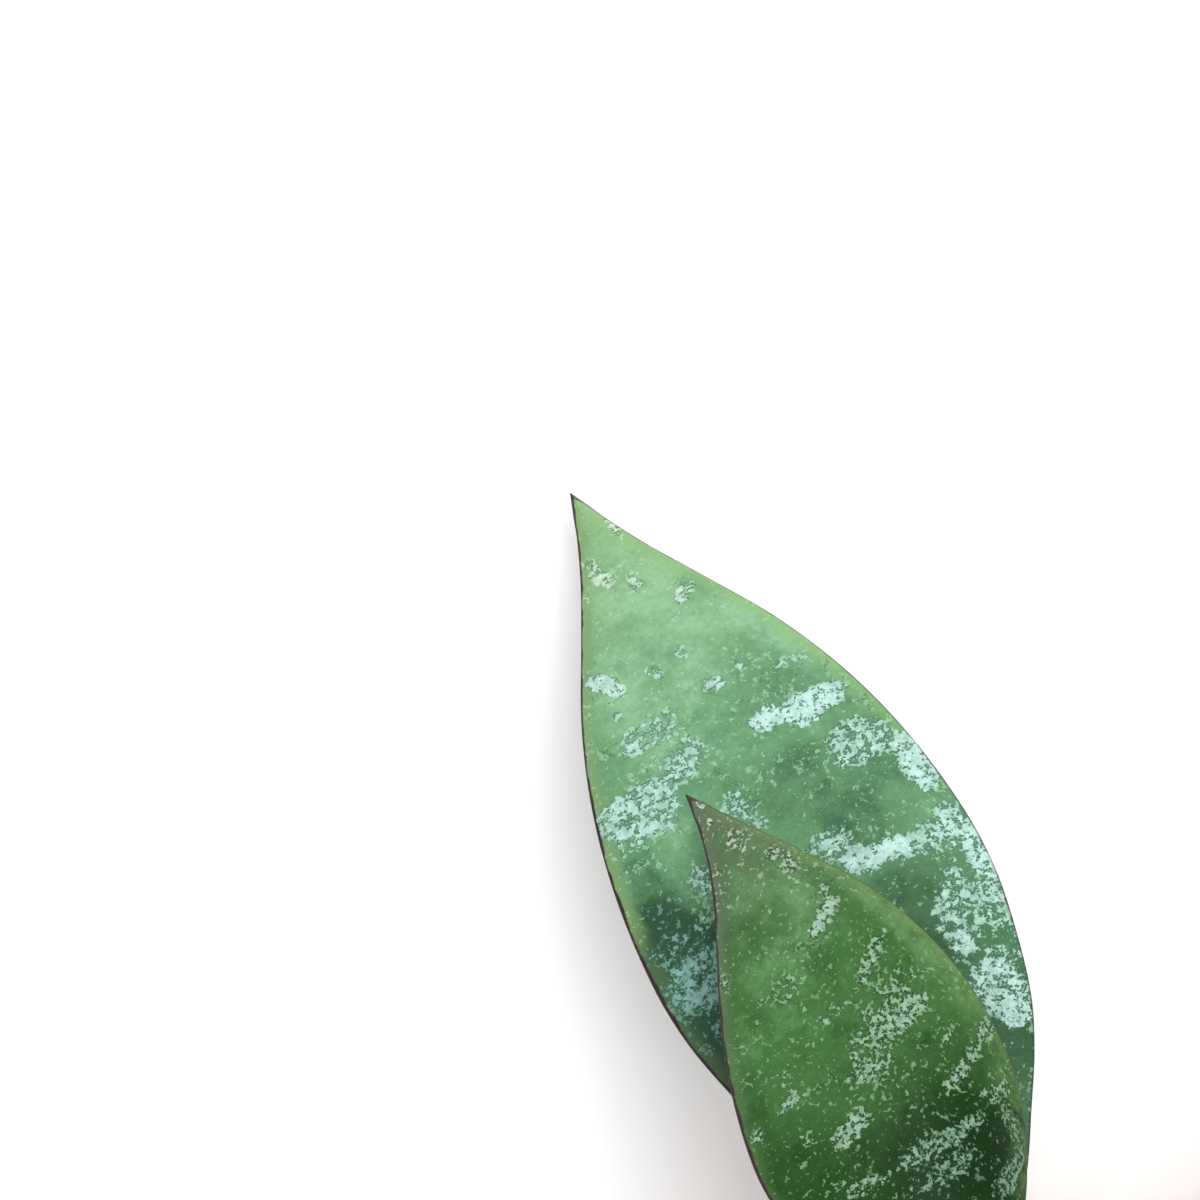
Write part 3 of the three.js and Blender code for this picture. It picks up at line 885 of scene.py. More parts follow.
LEAF_FINISHES = (
    LeafFinish(
        tone=Tone.BLUE_GREEN,
        foot=screen(50, 88, 52),
        deep=screen(46, 84, 52),
        middle=screen(92, 138, 98),
        pale=screen(124, 168, 130),
        tip=screen(134, 172, 122),
        band=screen(102, 124, 78),
    ),
    LeafFinish(
        tone=Tone.OLIVE,
        foot=screen(16, 50, 6),
        deep=screen(21, 54, 16),
        middle=screen(55, 94, 47),
        pale=screen(88, 129, 82),
        tip=screen(84, 99, 78),
        cool=screen(20, 56, 12),
        silver=screen(146, 176, 152),
        silver_in_shadow=screen(112, 148, 120),
        tip_silver=screen(192, 200, 180),
        speck=screen(138, 174, 130),
        pit=screen(24, 52, 22),
        band=screen(70, 92, 56),
        right_band=screen(92, 114, 62),
        margin=screen(52, 44, 40),
        band_width=0.0024,
        edging=0.9,
        ridge_highlight=0.3,
        gloss=0.1,
    ),
    LeafFinish(
        tone=Tone.YOUNG,
        foot=screen(66, 76, 40),
        deep=screen(72, 80, 44),
        middle=screen(94, 108, 60),
        pale=screen(112, 128, 76),
        tip=screen(112, 80, 62),
        margin=screen(84, 44, 40),
        silver=screen(168, 182, 160),
        silver_in_shadow=screen(128, 140, 112),
        tip_silver=screen(176, 168, 150),
        speck=screen(150, 164, 120),
    ),
)


@dataclass(frozen=True)
class ClayFinish:
    """Fired clay: warm, dusty, with pale mineral bloom and fine pores."""

    clay: Colour = screen(196, 112, 72)
    dark: Colour = screen(166, 88, 56)
    dusty: Colour = screen(214, 146, 108)
    bloom: Colour = screen(228, 205, 184)
    damp: Colour = screen(138, 72, 48)

    CLOUDS = Noise(32.0, 5.0, 0.6)
    TO_CLAY = Fade(0.34, 0.68)
    DUST = Noise(90.0, 6.0, 0.7)
    TO_DUST = Fade(0.46, 0.7)
    DUST_STRENGTH = 0.6
    STREAK_SHAPE = (1.0, 1.0, 0.35)
    SALTS = Noise(55.0, 8.0, 0.72)
    TO_SALTS = Fade(0.56, 0.74)
    SALTS_ABOVE = Fade(0.012, 0.06)
    SALTS_STRENGTH = 0.7
    WET = Noise(60.0, 4.0, weight=0.012)
    TO_WET = Fade(0.018, 0.006, 0.6)
    GRAIN = Noise(2600.0, 4.0, 0.75)
    DARK_GRAINS = Fade(0.62, 0.72, 0.35)
    RING_SHAPE = (0.02, 0.02, 1.0)
    RINGS = Noise(700.0, weight=0.5)
    PORE_CELLS = 900.0
    PORES = Fade(0.05, 0.22)
    PORE_RELIEF = 0.35
    GRAIN_RELIEF = 0.4
    ROUGHNESS = (0.78, 0.92)
    RELIEF_DEPTH = 0.0004

    def material(self) -> Material:
        """The finished material."""
        nodes = FinishNodes("fired_clay")
        place = nodes.place()
        height = nodes.split(place)["Z"]
        colour = nodes.mix(nodes.patches(place, self.CLOUDS, self.TO_CLAY), self.dark, self.clay)
        dust = nodes.patches(place, self.DUST, self.TO_DUST)
        colour = nodes.mix(nodes.times(dust, self.DUST_STRENGTH), colour, self.dusty)
        salts = nodes.patches(nodes.shaped(place, self.STREAK_SHAPE), self.SALTS, self.TO_SALTS)
        salts = nodes.times(salts, nodes.fade(height, self.SALTS_ABOVE), self.SALTS_STRENGTH)
        colour = nodes.mix(salts, colour, self.bloom)
        wet = nodes.plus(height, nodes.weighed(place, self.WET))
        colour = nodes.mix(nodes.fade(wet, self.TO_WET), colour, self.damp)
        grain = nodes.noise(place, self.GRAIN)
        colour = nodes.mix(nodes.fade(grain, self.DARK_GRAINS), colour, self.dark)
        pores = nodes.fade(nodes.cells(place, self.PORE_CELLS)["Distance"], self.PORES)
        relief = nodes.plus(
            nodes.weighed(nodes.shaped(place, self.RING_SHAPE), self.RINGS),
            nodes.times(pores, self.PORE_RELIEF),
            nodes.times(grain, self.GRAIN_RELIEF),
        )
        return nodes.shade(
            Base_Color=colour,
            Roughness=nodes.ramp(dust, self.ROUGHNESS),
            Normal=nodes.bump(relief, self.RELIEF_DEPTH),
            IOR=REFRACTION,
        )


@dataclass(frozen=True)
class CrumbFinish:
    """A dull natural crumb of the potting mix: its colours run from one to the next between the crumbs."""

    name: str
    dark: Colour
    middle: Colour
    light: Colour
    grain: float
    depth: float

    BROADER = 8
    BROAD_DETAIL = (4.0, 0.62)
    GRAIN_DETAIL = (5.0, 0.7)
    TONE_WEIGHT = 0.6
    BROAD_WEIGHT = 0.4
    TO_MIDDLE = Fade(0.2, 0.5)
    TO_LIGHT = Fade(0.5, 0.78)
    GRAIN_LIGHT = (0.55, 1.4)
    ROUGHNESS = 0.9

    def material(self) -> Material:
        """The finished material."""
        nodes = FinishNodes(self.name)
        place = nodes.place()
        tone = nodes.times(nodes.read("tone"), self.TONE_WEIGHT)
        broad = Noise(self.grain / self.BROADER, *self.BROAD_DETAIL, self.BROAD_WEIGHT)
        level = nodes.plus(tone, nodes.weighed(place, broad))
        colour = nodes.mix(nodes.fade(level, self.TO_MIDDLE), self.dark, self.middle)
        colour = nodes.mix(nodes.fade(level, self.TO_LIGHT), colour, self.light)
        grain = nodes.noise(place, Noise(self.grain, *self.GRAIN_DETAIL))
        return nodes.shade(
            Base_Color=nodes.scaled(colour, nodes.ramp(grain, self.GRAIN_LIGHT)),
            Roughness=self.ROUGHNESS,
            Normal=nodes.bump(grain, self.depth),
            IOR=REFRACTION,
        )


MIX_FINISHES = (
    CrumbFinish("dark_mix", screen(38, 26, 20), screen(58, 40, 30), screen(84, 60, 44), 2400.0, 0.0006),
    CrumbFinish("bark", screen(66, 40, 28), screen(112, 70, 46), screen(158, 112, 80), 1100.0, 0.0005),
    CrumbFinish("perlite", screen(196, 190, 178), screen(222, 218, 208), screen(240, 238, 232), 3e3, 0.0003),
    CrumbFinish("coir", screen(104, 70, 42), screen(150, 106, 66), screen(184, 140, 94), 2000.0, 0.0001),
)


@dataclass(frozen=True)
class StemFinish:
    """Skin of the vines: green where young, corky brown where old, with pale raised pores."""

    young: Colour = screen(102, 112, 66)
    old: Colour = screen(120, 98, 70)
    cork: Colour = screen(158, 138, 106)
    bud: Colour = screen(128, 96, 66)

    CLOUDS = Noise(160.0, 4.0, 0.6, weight=0.5)
    TO_YOUNG = Fade(0.35, 0.85)
    TO_BUD = Fade(0.93, 1.0)
    PORE_CELLS = 620.0
    PORES = Fade(0.26, 0.12)
    PORE_STRENGTH = 0.7
    PORE_RELIEF = 0.6
    FINE = Noise(1400.0, 4.0, 0.7, weight=0.4)
    RELIEF_DEPTH = 0.00025
    ROUGHNESS = 0.62
    REFRACTION = 1.42

    def material(self) -> Material:
        """The finished material."""
        nodes = FinishNodes("vine_skin")
        place = nodes.place()
        along = nodes.read("along")
        age = nodes.plus(along, nodes.times(nodes.swing(place, self.CLOUDS), self.CLOUDS.weight))
        colour = nodes.mix(nodes.fade(age, self.TO_YOUNG), self.old, self.young)
        colour = nodes.mix(nodes.fade(along, self.TO_BUD), colour, self.bud)
        pores = nodes.fade(nodes.cells(place, self.PORE_CELLS)["Distance"], self.PORES)
        colour = nodes.mix(nodes.times(pores, self.PORE_STRENGTH), colour, self.cork)
        relief = nodes.plus(nodes.times(pores, self.PORE_RELIEF), nodes.weighed(place, self.FINE))
        return nodes.shade(
            Base_Color=colour,
            Roughness=self.ROUGHNESS,
            Normal=nodes.bump(relief, self.RELIEF_DEPTH),
            IOR=self.REFRACTION,
        )


@dataclass(frozen=True)
class GroundFinish:
    """White light-table paper that the pot stands on, with a faint glow that keeps its shadows pale."""

    paper: Colour = screen(236, 236, 236)
    glow: float = 0.05

    FIBRES = Noise(900.0, 3.0)
    FIBRE_DEPTH = 0.00002
    ROUGHNESS = 0.9

    def material(self) -> Material:
        """The finished material."""
        nodes = FinishNodes("white_paper")
        return nodes.shade(
            Base_Color=self.paper,
            Roughness=self.ROUGHNESS,
            Normal=nodes.bump(nodes.noise(nodes.place(), self.FIBRES), self.FIBRE_DEPTH),
            Emission_Color=self.paper,
            Emission_Strength=self.glow,
        )


@dataclass(frozen=True)
class Splash:
    """A cluster of silver flecks on a blade, or a cloud in its green (on the rear leaf some are painted
    shadow), in millimetres and degrees.

    It lies along the midrib from the blade's foot and aside to the left of the midrib. Its length runs across
    the blade, and a turn takes its right end towards the tip.
    """

    along: float
    aside: float
    length: float
    breadth: float
    turn: float
    strength: float

    BOXINESS = 2.6

    def density(self, along: Array, aside: Array, fade: Span) -> Array:
        """How strong it is.

        Args:
            along: Distances from the blade's foot, in metres.
            aside: Distances left of the midrib, in metres.
            fade: Where it ends and where it is full, as shares of its half size.

        Returns:
            Its strength at each place.
        """
        turn = math.radians(self.turn)
        right = self.aside / MM_PER_METRE - aside
        forward = along - self.along / MM_PER_METRE
        half_length, half_breadth = self.length / (2 * MM_PER_METRE), self.breadth / (2 * MM_PER_METRE)
        across = np.abs(right * math.cos(turn) + forward * math.sin(turn)) / half_length
        lengthwise = np.abs(forward * math.cos(turn) - right * math.sin(turn)) / half_breadth
        reach = (across**self.BOXINESS + lengthwise**self.BOXINESS) ** (1 / self.BOXINESS)
        return self.strength * smoothstep(reach, *fade)


REAR_SPLASHES = (
    Splash(136, -3, 2, 6, 0, 0.55),
    Splash(129, 3.4, 3, 6, 0, 0.6),
    Splash(126, 2.2, 2, 4, 0, 0.6),
    Splash(122, -1.5, 3, 5, 0, 0.5),
    Splash(115.6, -6.8, 5, 2.6, 40, 0.85),
    Splash(107.5, 10.5, 8, 3.4, -57, 0.9),
    Splash(101.5, 11.5, 2, 1.6, 0, 0.6),
    Splash(97, -3.5, 4, 3.4, 0, 0.7),
    Splash(98, -8.2, 1.3, 1.3, 0, 1),
    Splash(94.5, -15, 6, 2.6, 0, 0.5),
    Splash(104, 3, 3, 5, 0, 0.5),
    Splash(105, -1.5, 2, 4, 0, 0.52),
    Splash(95.5, 8, 10, 6, 0, 0.52),
    Splash(94.5, 12, 3.4, 3, 0, 0.7),
    Splash(88, 6.5, 9, 6, 20, 0.56),
    Splash(84.5, 16, 15, 9, 0, 0.66),
    Splash(78, 20, 5, 4, 0, 0.5),
    Splash(79.5, 13.5, 7, 3, 0, 0.5),
    Splash(87.2, -8, 5.6, 4.4, 0, 0.95),
    Splash(86.2, -15.2, 10, 4.6, 0, 0.98),
    Splash(84.4, -13.4, 4.4, 4, 0, 0.9),
    Splash(85, -20, 6, 4, 0, 0.5),
    Splash(76.6, -17.8, 11, 9, 0, 0.6),
    Splash(69.5, -24, 5, 11, 0, 0.84),
    Splash(77, 2.5, 5, 5, -30, 0.55),
    Splash(73, 0.5, 3, 5, 0, 0.42),
    Splash(69, 12.5, 4, 5, 0, 0.6),
    Splash(63, 19, 12, 4, 0, 0.44),
    Splash(55.5, 19.5, 12, 9, 0, 0.68),
    Splash(48, 21, 3, 4, 0, 0.4),
    Splash(63.5, -6.5, 8, 6, 0, 0.58),
    Splash(59, -12, 11, 4, -6, 0.92),
    Splash(57.8, -19, 9, 5, 0, 0.56),
    Splash(58.5, -24.2, 4.4, 7, 0, 0.66),
    Splash(54, -23.5, 8, 9, 0, 0.48),
    Splash(52, -25.6, 4.4, 9, 0, 0.68),
    Splash(46.5, -25.2, 4, 7, 0, 0.56),
    Splash(48.5, -21, 9, 7, 0, 0.52),
    Splash(45.5, -16.5, 6, 6, 0, 0.5),
    Splash(41, -16.5, 4, 5, 0, 0.68),
    Splash(40, -22, 7, 11, 0, 0.5),
    Splash(33, -18, 8, 9, 0, 0.74),
    Splash(28, -18.5, 5, 4, 0, 0.75),
    Splash(66.5, -13.5, 3, 2, 40, 0.5),
)

# The rear leaf's clouding. The first four entries, dark ones on its left below the upper leaf, are painted
# shadow cast by that leaf; the rest are mottling.
REAR_CLOUDS_AND_SHADOW = (
    Splash(62.5, 21, 17, 12, -50, -0.95),
    Splash(72, 20.5, 10, 12, -40, -0.32),
    Splash(47, 20, 16, 24, 0, -1.2),
    Splash(46, 26, 10, 26, 0, -0.8),
    Splash(76, 13, 9, 9, 0, 0.3),
    Splash(75.5, -4.5, 12, 9, 20, -0.22),
    Splash(62.5, -12, 10, 9, 0, -0.24),
    Splash(74, -8, 34, 20, 0, -0.14),
    Splash(92, -6, 16, 9, 0, -0.14),
    Splash(53, -13, 13, 8, 0, -0.36),
    Splash(40, -12, 10, 22, 0, -0.5),
    Splash(93, 20, 8, 6, 0, -0.15),
    Splash(26, -18, 14, 12, 0, -0.4),
    Splash(112, 2, 26, 26, 0, 0.3),
    Splash(98, 4, 20, 26, 0, 0.25),
    Splash(100, -17, 8, 26, 24, 0.5),
    Splash(73, -14, 20, 14, 0, -0.1),
    Splash(128, 0, 20, 20, 0, 0.3),
)

FRONT_SPLASHES = (
    Splash(93, -0.6, 1, 2, 0, 0.8),
    Splash(89.5, 0.2, 1, 1.4, 0, 0.9),
    Splash(84, -1, 3, 5, 0, 0.5),
    Splash(81.5, 4.5, 2, 4, 0, 0.36),
    Splash(77.5, -4.5, 3.4, 6, 10, 0.55),
    Splash(73, -3.5, 3, 3, 30, 0.4),
    Splash(70, -7, 3, 1.6, 45, 0.6),
    Splash(72, 1.5, 1.4, 2, 0, 0.5),
    Splash(66.3, -4.5, 7.6, 2.3, 30, 0.92),
    Splash(60, 6, 6, 4, 0, 0.42),
    Splash(57.5, 5.2, 2.6, 6, 0, 0.36),
    Splash(60.5, 10, 3, 1.6, 0, 0.4),
    Splash(57.5, -7, 12, 2.6, 40, 0.6),
    Splash(53, 1.5, 6, 2.4, 0, 0.5),
    Splash(51.8, -7, 12, 5, 22, 0.48),
    Splash(48.3, -8, 9, 3.2, 20, 0.7),
    Splash(45.5, 0, 10, 6, 36, 0.52),
    Splash(44.4, 13, 4.6, 2, 30, 0.55),
    Splash(48, 12.5, 2, 4, 0, 0.45),
    Splash(57, 12, 2, 3, 0, 0.42),
    Splash(67, 13, 2, 4, 0, 0.45),
    Splash(42, 19.5, 3, 2.6, 0, 0.48),
    Splash(43, -12, 3, 2, 40, 0.5),
    Splash(42, -1, 7, 4, 10, 0.5),
    Splash(36.5, 6.5, 8, 3.4, 25, 0.7),
    Splash(43.5, 13, 6, 2.2, 10, 0.45),
    Splash(38, 12.5, 3, 3, 0, 0.4),
    Splash(38.5, -12, 11, 2.6, 27, 0.62),
    Splash(42.5, -19, 5, 3, 30, 0.6),
    Splash(30, -5, 16, 3.4, 10, 0.6),
    Splash(34, -16, 8, 3, 10, 0.5),
    Splash(26, -4, 14, 3.4, 10, 0.5),
    Splash(28, -17.5, 4, 10, 0, 0.5),
    Splash(22.5, -14, 7, 4, 30, 0.55),
    Splash(28.5, 9, 6, 4, 0, 0.5),
    Splash(29, 4.5, 3, 4, 0, 0.5),
)

FRONT_CLOUDS = (
    Splash(62, -15, 9, 30, 12, 0.36),
    Splash(27, -7, 30, 18, 0, -0.7),
    Splash(40, -10, 18, 10, 20, -0.3),
    Splash(33, 16, 14, 16, 0, -0.2),
    Splash(68, 4, 9, 9, 0, -0.35),
    Splash(75, 1, 14, 22, 0, 0.4),
    Splash(24, -13, 22, 16, 0, -0.3),
    Splash(48, 20, 8, 14, 0, -0.3),
    Splash(60, 8, 16, 16, 0, 0.24),
)


@dataclass(frozen=True)
class SplashRule:
    """Draws the splashes of a leaf that the photograph doesn't show, in groups.

    Sizes are shares of its length.
    """

    groups: int
    parts: int
    along: Span
    spread: Span
    length: Span
    slimness: Span
    turn: Span
    strength: Span

    STRENGTH_SPREAD = (0.6, 1.05)

    def draw(self, seed: int, length: float, half_width: float) -> tuple[Splash, ...]:
        """Draws one leaf's splashes.

        Args:
            seed: What they are drawn from.
            length: The blade's length in metres.
            half_width: Its widest half width in metres.

        Returns:
            The splashes.
        """
        chance = np.random.default_rng(seed)
        whole = length * MM_PER_METRE
        splashes = []
        for _ in range(self.groups):
            share = chance.uniform(*self.along)
            half = MM_PER_METRE * half_width * float(smooth_line(Leaf.OUTLINE, np.array(share)))
            aside = half * chance.uniform(-1, 1)
            turn = chance.uniform(*self.turn)
            strength = chance.uniform(*self.strength)
            for _ in range(self.parts):
                across = chance.uniform(-1, 1) * self.spread[0] * whole
                ahead = chance.uniform(-1, 1) * self.spread[1] * whole
                long = chance.uniform(*self.length) * whole
                splashes.append(
                    Splash(
                        along=share * whole + ahead + across * math.sin(math.radians(turn)),
                        aside=aside - across,
                        length=long,
                        breadth=long * chance.uniform(*self.slimness),
                        turn=turn,
                        strength=strength * chance.uniform(*self.STRENGTH_SPREAD),
                    )
                )
        return tuple(splashes)


SILVER_RULE = SplashRule(
    groups=20,
    parts=5,
    along=(0.05, 0.96),
    spread=(0.06, 0.024),
    length=(0.018, 0.08),
    slimness=(0.3, 0.8),
    turn=(-12, 32),
    strength=(0.4, 0.82),
)
CLOUD_RULE = SplashRule(
    groups=7,
    parts=3,
    along=(0.05, 0.95),
    spread=(0.12, 0.1),
    length=(0.1, 0.26),
    slimness=(0.4, 0.8),
    turn=(-30, 30),
    strength=(-0.42, 0.4),
)


@dataclass(frozen=True)
class Leaf:
    """One leaf with its stalk: where it grows, how it bends, curls and waves, and how it is marked.

    Lengths are in metres and angles in degrees, but for the curls of its left and right halves, which are in
    radians, like the phase of its waves.
    """

    name: str
    root: Point
    foot: Point
    heading: float
    turn: float
    rise: float
    fall: float
    length: float
    half_width: float
    curl: Span
    wave: float
    waves: float
    phase: float
    roll: float
    tone: Tone
    streak_turn: float = 12.0
    splashes: tuple[Splash, ...] = ()
    clouds: tuple[Splash, ...] = ()
    seed: int = 0

    OUTLINE = (
        (0, 0.07), (0.012, 0.17), (0.05, 0.34), (0.1, 0.515), (0.15, 0.685), (0.2, 0.815),
        (0.26, 0.91), (0.33, 0.985), (0.4, 1), (0.5, 0.945), (0.6, 0.825), (0.7, 0.64), (0.8, 0.395),
        (0.87, 0.23), (0.93, 0.115), (0.97, 0.055), (1, 0.01),
    )
    SPLASH_FADE = (1.35, 0.75)
    SPREAD_FADE = (3.2, 0.8)
    CLOUD_FADE = (1.5, 0.4)
    PATH_STEPS = 240
    BLADE_ROWS = 150
    STALK_ROWS = 14
    COLUMNS = 48
    TIP_CROWDING = 0.4
    STALK_RADIUS = 0.0019
    FULL_GROWN_WIDTH = 0.025
    STALK_RISE = 0.35
    STALK_STRAIGHT = (0.4, 0.35)
    STALK_BLEND = 0.05
    THICKNESS = 0.0019
    MARGIN_THICKNESS = 0.0009
    TIP_SLIMNESS = 0.7
    SLIM_BELOW = 0.6
    RIB_DEPTH = 0.0015
    RIB_FADE = 0.8
    RIB_WIDTH = 0.0024
    SIDE_PHASE = 0.9
    CURL_FADE = 0.7
    OVERLAP = 0.2
    APART = 100
    STALK_PATTERN = 0.03

    def stalk_radius(self) -> float:
        """Radius of its stalk: a young leaf has a thinner one."""
        return self.STALK_RADIUS * math.sqrt(self.half_width / self.FULL_GROWN_WIDTH)

    def midrib(self, shares: Array) -> tuple[Array, Array, Array, Array]:
        """Where the midrib runs.

        Args:
            shares: Places along it, from 0 at the blade's foot to 1 at its tip.

        Returns:
            Its points, and there the directions along it, to its left and up from the blade.
        """
        steps = np.linspace(0, 1, self.PATH_STEPS + 1)
        along, left, up = self.directions(steps)
        moves = along[:-1] * (self.length / self.PATH_STEPS)
        points = np.array(self.foot) + np.concatenate([np.zeros((1, 3)), np.cumsum(moves, axis=0)])
        here = np.stack([np.interp(shares, steps, points[:, axis]) for axis in range(3)], axis=1)
        return (here, *self.directions(shares))

    def directions(self, shares: Array) -> tuple[Array, Array, Array]:
        """Directions along the midrib, to its left and up from the blade.

        Args:
            shares: Places along the midrib.

        Returns:
            Three unit vectors for each place.
        """
        heading = np.radians(self.heading + self.turn * shares)
        pitch = np.radians(self.rise + (self.fall - self.rise) * shares)
        flat = np.cos(pitch)
        along = np.stack([flat * np.cos(heading), flat * np.sin(heading), np.sin(pitch)], axis=1)
        level = np.stack([-np.sin(heading), np.cos(heading), np.zeros_like(heading)], axis=1)
        roll = np.radians(self.roll * shares)[:, None]
        left = level * np.cos(roll) + np.cross(along, level) * np.sin(roll)
        return along, left, np.cross(along, left)

    def across(self) -> tuple[Array, Array]:
        """Places round a cross-section.

        Returns:
            For each point the place between the right margin, -1, and the left one, 1, and its face: 1 for
            the upper one, -1 for the lower one.
        """
        over = -np.cos(np.linspace(0, np.pi, self.COLUMNS + 1))
        places = np.concatenate([over, over[-2:0:-1]])
        faces = np.concatenate([np.ones(self.COLUMNS + 1), -np.ones(self.COLUMNS - 1)])
        return places, faces

    def blade_shares(self) -> Array:
        """Rows along the blade, closer together at its foot and tip."""
        even = np.linspace(0, 1, self.BLADE_ROWS)
        crowded = (1 - np.cos(np.pi * even)) / 2
        return even + (crowded - even) * self.TIP_CROWDING

    def blade(self) -> tuple[Array, dict[str, Array]]:
        """The blade's cross-sections and what its finish reads there.

        Returns:
            Points by row, point of the row and axis, and for each the values of the finish's attributes.
        """
        shares = self.blade_shares()
        points, _, left, up = self.midrib(shares)
        s = shares[:, None]
        a, face = (values[None, :] for values in self.across())
        half = self.half_width * smooth_line(self.OUTLINE, s)
        share = half / self.half_width
        curl = np.where(a < 0, self.curl[1], self.curl[0]) * (1 - self.CURL_FADE * s)
        phase = self.phase + self.SIDE_PHASE * (a < 0)
        ripple = self.wave * np.sin(2 * np.pi * self.waves * s + phase) * share * a * a
        lift = ripple - half * (1 - np.cos(curl * a)) / curl
        slim = self.TIP_SLIMNESS + (1 - self.TIP_SLIMNESS) * np.minimum(1, share / self.SLIM_BELOW)
        thickness = (self.THICKNESS + (self.MARGIN_THICKNESS - self.THICKNESS) * a * a) * slim
        inset = half * (1 - np.abs(a))
        bevel = np.minimum(self.MARGIN_THICKNESS * slim / 2, half)
        rounding = np.sqrt(np.clip(1 - (1 - np.minimum(inset / bevel, 1)) ** 2, 0, 1))
        rib = np.where(face > 0, 0, np.exp(-((half * a / self.RIB_WIDTH) ** 2)))
        rib = rib * self.RIB_DEPTH * (1 - s) ** self.RIB_FADE
        stalk = 1 - smoothstep(s, 0, self.STALK_BLEND)
        radius = self.stalk_radius()
        flat = lift + face * thickness * rounding / 2 - rib
        round_up = face * radius * np.sqrt(np.clip(1 - a * a, 0, 1)) - self.RIB_DEPTH / 2
        aside = half * np.sin(curl * a) / curl
        aside = aside + (radius * a - aside) * stalk
        lifted = flat + (round_up - flat) * stalk
        rings = points[:, None] + left[:, None] * aside[..., None] + up[:, None] * lifted[..., None]
        lengthwise = s * self.length + 0 * a
        crosswise = half * a
        values = {
            "along": s + 0 * a,
            "margin": inset,
            "under": np.where(face < 0, 1.0, 0.0) + 0 * s,
            "stalk": stalk + 0 * a,
            "side": a + 0 * s,
            "silver": self.silver(lengthwise, crosswise, self.SPLASH_FADE),
            "spread": self.silver(lengthwise, crosswise, self.SPREAD_FADE),
            "clouds": self.cloud_and_shade_strength(lengthwise, crosswise),
            "place": self.streaked(lengthwise, crosswise),
        }
        return rings, values

    def silver(self, along: Array, aside: Array, fade: Span) -> Array:
        """How dense the silver flecks are.

        Args:
            along: Distances from the blade's foot.
            aside: Distances left of the midrib.
            fade: Where a splash ends and where it is full, as shares of its half size.

        Returns:
            The density at each place.
        """
        splashes = self.splashes or SILVER_RULE.draw(self.seed, self.length, self.half_width)
        densities = [splash.density(along, aside, fade) for splash in splashes]
        strongest = np.maximum.reduce(densities)
        return np.clip(strongest + self.OVERLAP * (sum(densities) - strongest), 0, 1)

    def cloud_and_shade_strength(self, along: Array, aside: Array) -> Array:
        """How much paler or deeper the green is, painted shadow included."""
        clouds = self.clouds or CLOUD_RULE.draw(self.seed, self.length, self.half_width)
        return np.clip(sum(cloud.density(along, aside, self.CLOUD_FADE) for cloud in clouds), -1, 1)

    def streaked(self, along: Array, aside: Array) -> Array:
        """Positions for the patterns, turned so that the first axis runs as the streaks do.

        Args:
            along: Distances from the blade's foot.
            aside: Distances left of the midrib.

        Returns:
            Three numbers for each place. The third keeps the leaves apart.
        """
        turn = math.radians(self.streak_turn)
        first = -aside * math.cos(turn) + along * math.sin(turn)
        second = along * math.cos(turn) + aside * math.sin(turn)
        apart = np.full_like(first, self.heading / self.APART)
        return np.stack([first, second, apart], axis=-1)

    def stalk(self, foot: Array, along: Array, up: Array) -> Array:
        """The stalk's cross-sections, from inside the vine's node to the foot of the blade.

        Args:
            foot: The middle of the blade's first cross-section.
            along: The midrib's direction there.
            up: The direction up from the blade there.

        Returns:
            Points by row, point of the row and axis.
        """
        start = np.array(self.root)
        reach = np.linalg.norm(foot - start)
        outward = foot - start
        outward[2] = 0
        outward = outward / np.linalg.norm(outward)
        outward[2] = self.STALK_RISE
        outward = outward / np.linalg.norm(outward)
        ends = np.array(
            [
                start,
                start + outward * reach * self.STALK_STRAIGHT[0],
                foot - along * reach * self.STALK_STRAIGHT[1],
                foot,
            ]
        )
        points, ways = bezier(ends, np.arange(self.STALK_ROWS) / self.STALK_ROWS)
        left = np.cross(up, ways)
        left = left / np.linalg.norm(left, axis=1, keepdims=True)
        rise = np.cross(ways, left)
        a, face = self.across()
        aside = (self.stalk_radius() * a)[None, :, None]
        height = (face * self.stalk_radius() * np.sqrt(np.clip(1 - a * a, 0, 1)))[None, :, None]
        return points[:, None] + left[:, None] * aside + rise[:, None] * height

    def build(self, material: Material) -> None:
        """Builds the leaf in place of its plain solid.

        Args:
            material: Its finish.
        """
        blade, values = self.blade()
        point, along, _, up = (vectors[0] for vectors in self.midrib(np.array([0.0])))
        stalk = self.stalk(point - up * self.RIB_DEPTH / 2, along, up)
        rings = np.concatenate([stalk, blade])
        mesh = plain_mesh(f"{self.name}_fine", rings, material)
        behind = np.repeat(values["place"][:1], self.STALK_ROWS, axis=0)
        behind[:, :, 1] += np.linspace(-self.STALK_PATTERN, 0, self.STALK_ROWS)[:, None]
        stalk_values = {"stalk": 1.0, "under": 0.0, "along": 0.0, "margin": 1.0}
        for name, over_blade in values.items():
            before = behind if name == "place" else np.full(stalk.shape[:2], stalk_values.get(name, 0.0))
            whole = np.concatenate([before, over_blade])
            whole = whole.reshape(-1, 3) if name == "place" else whole.ravel()
            ends = whole[[0, -1]]
            put_attribute(mesh, name, np.concatenate([whole, ends]))
        place_piece(mesh, "leaf", self.name)


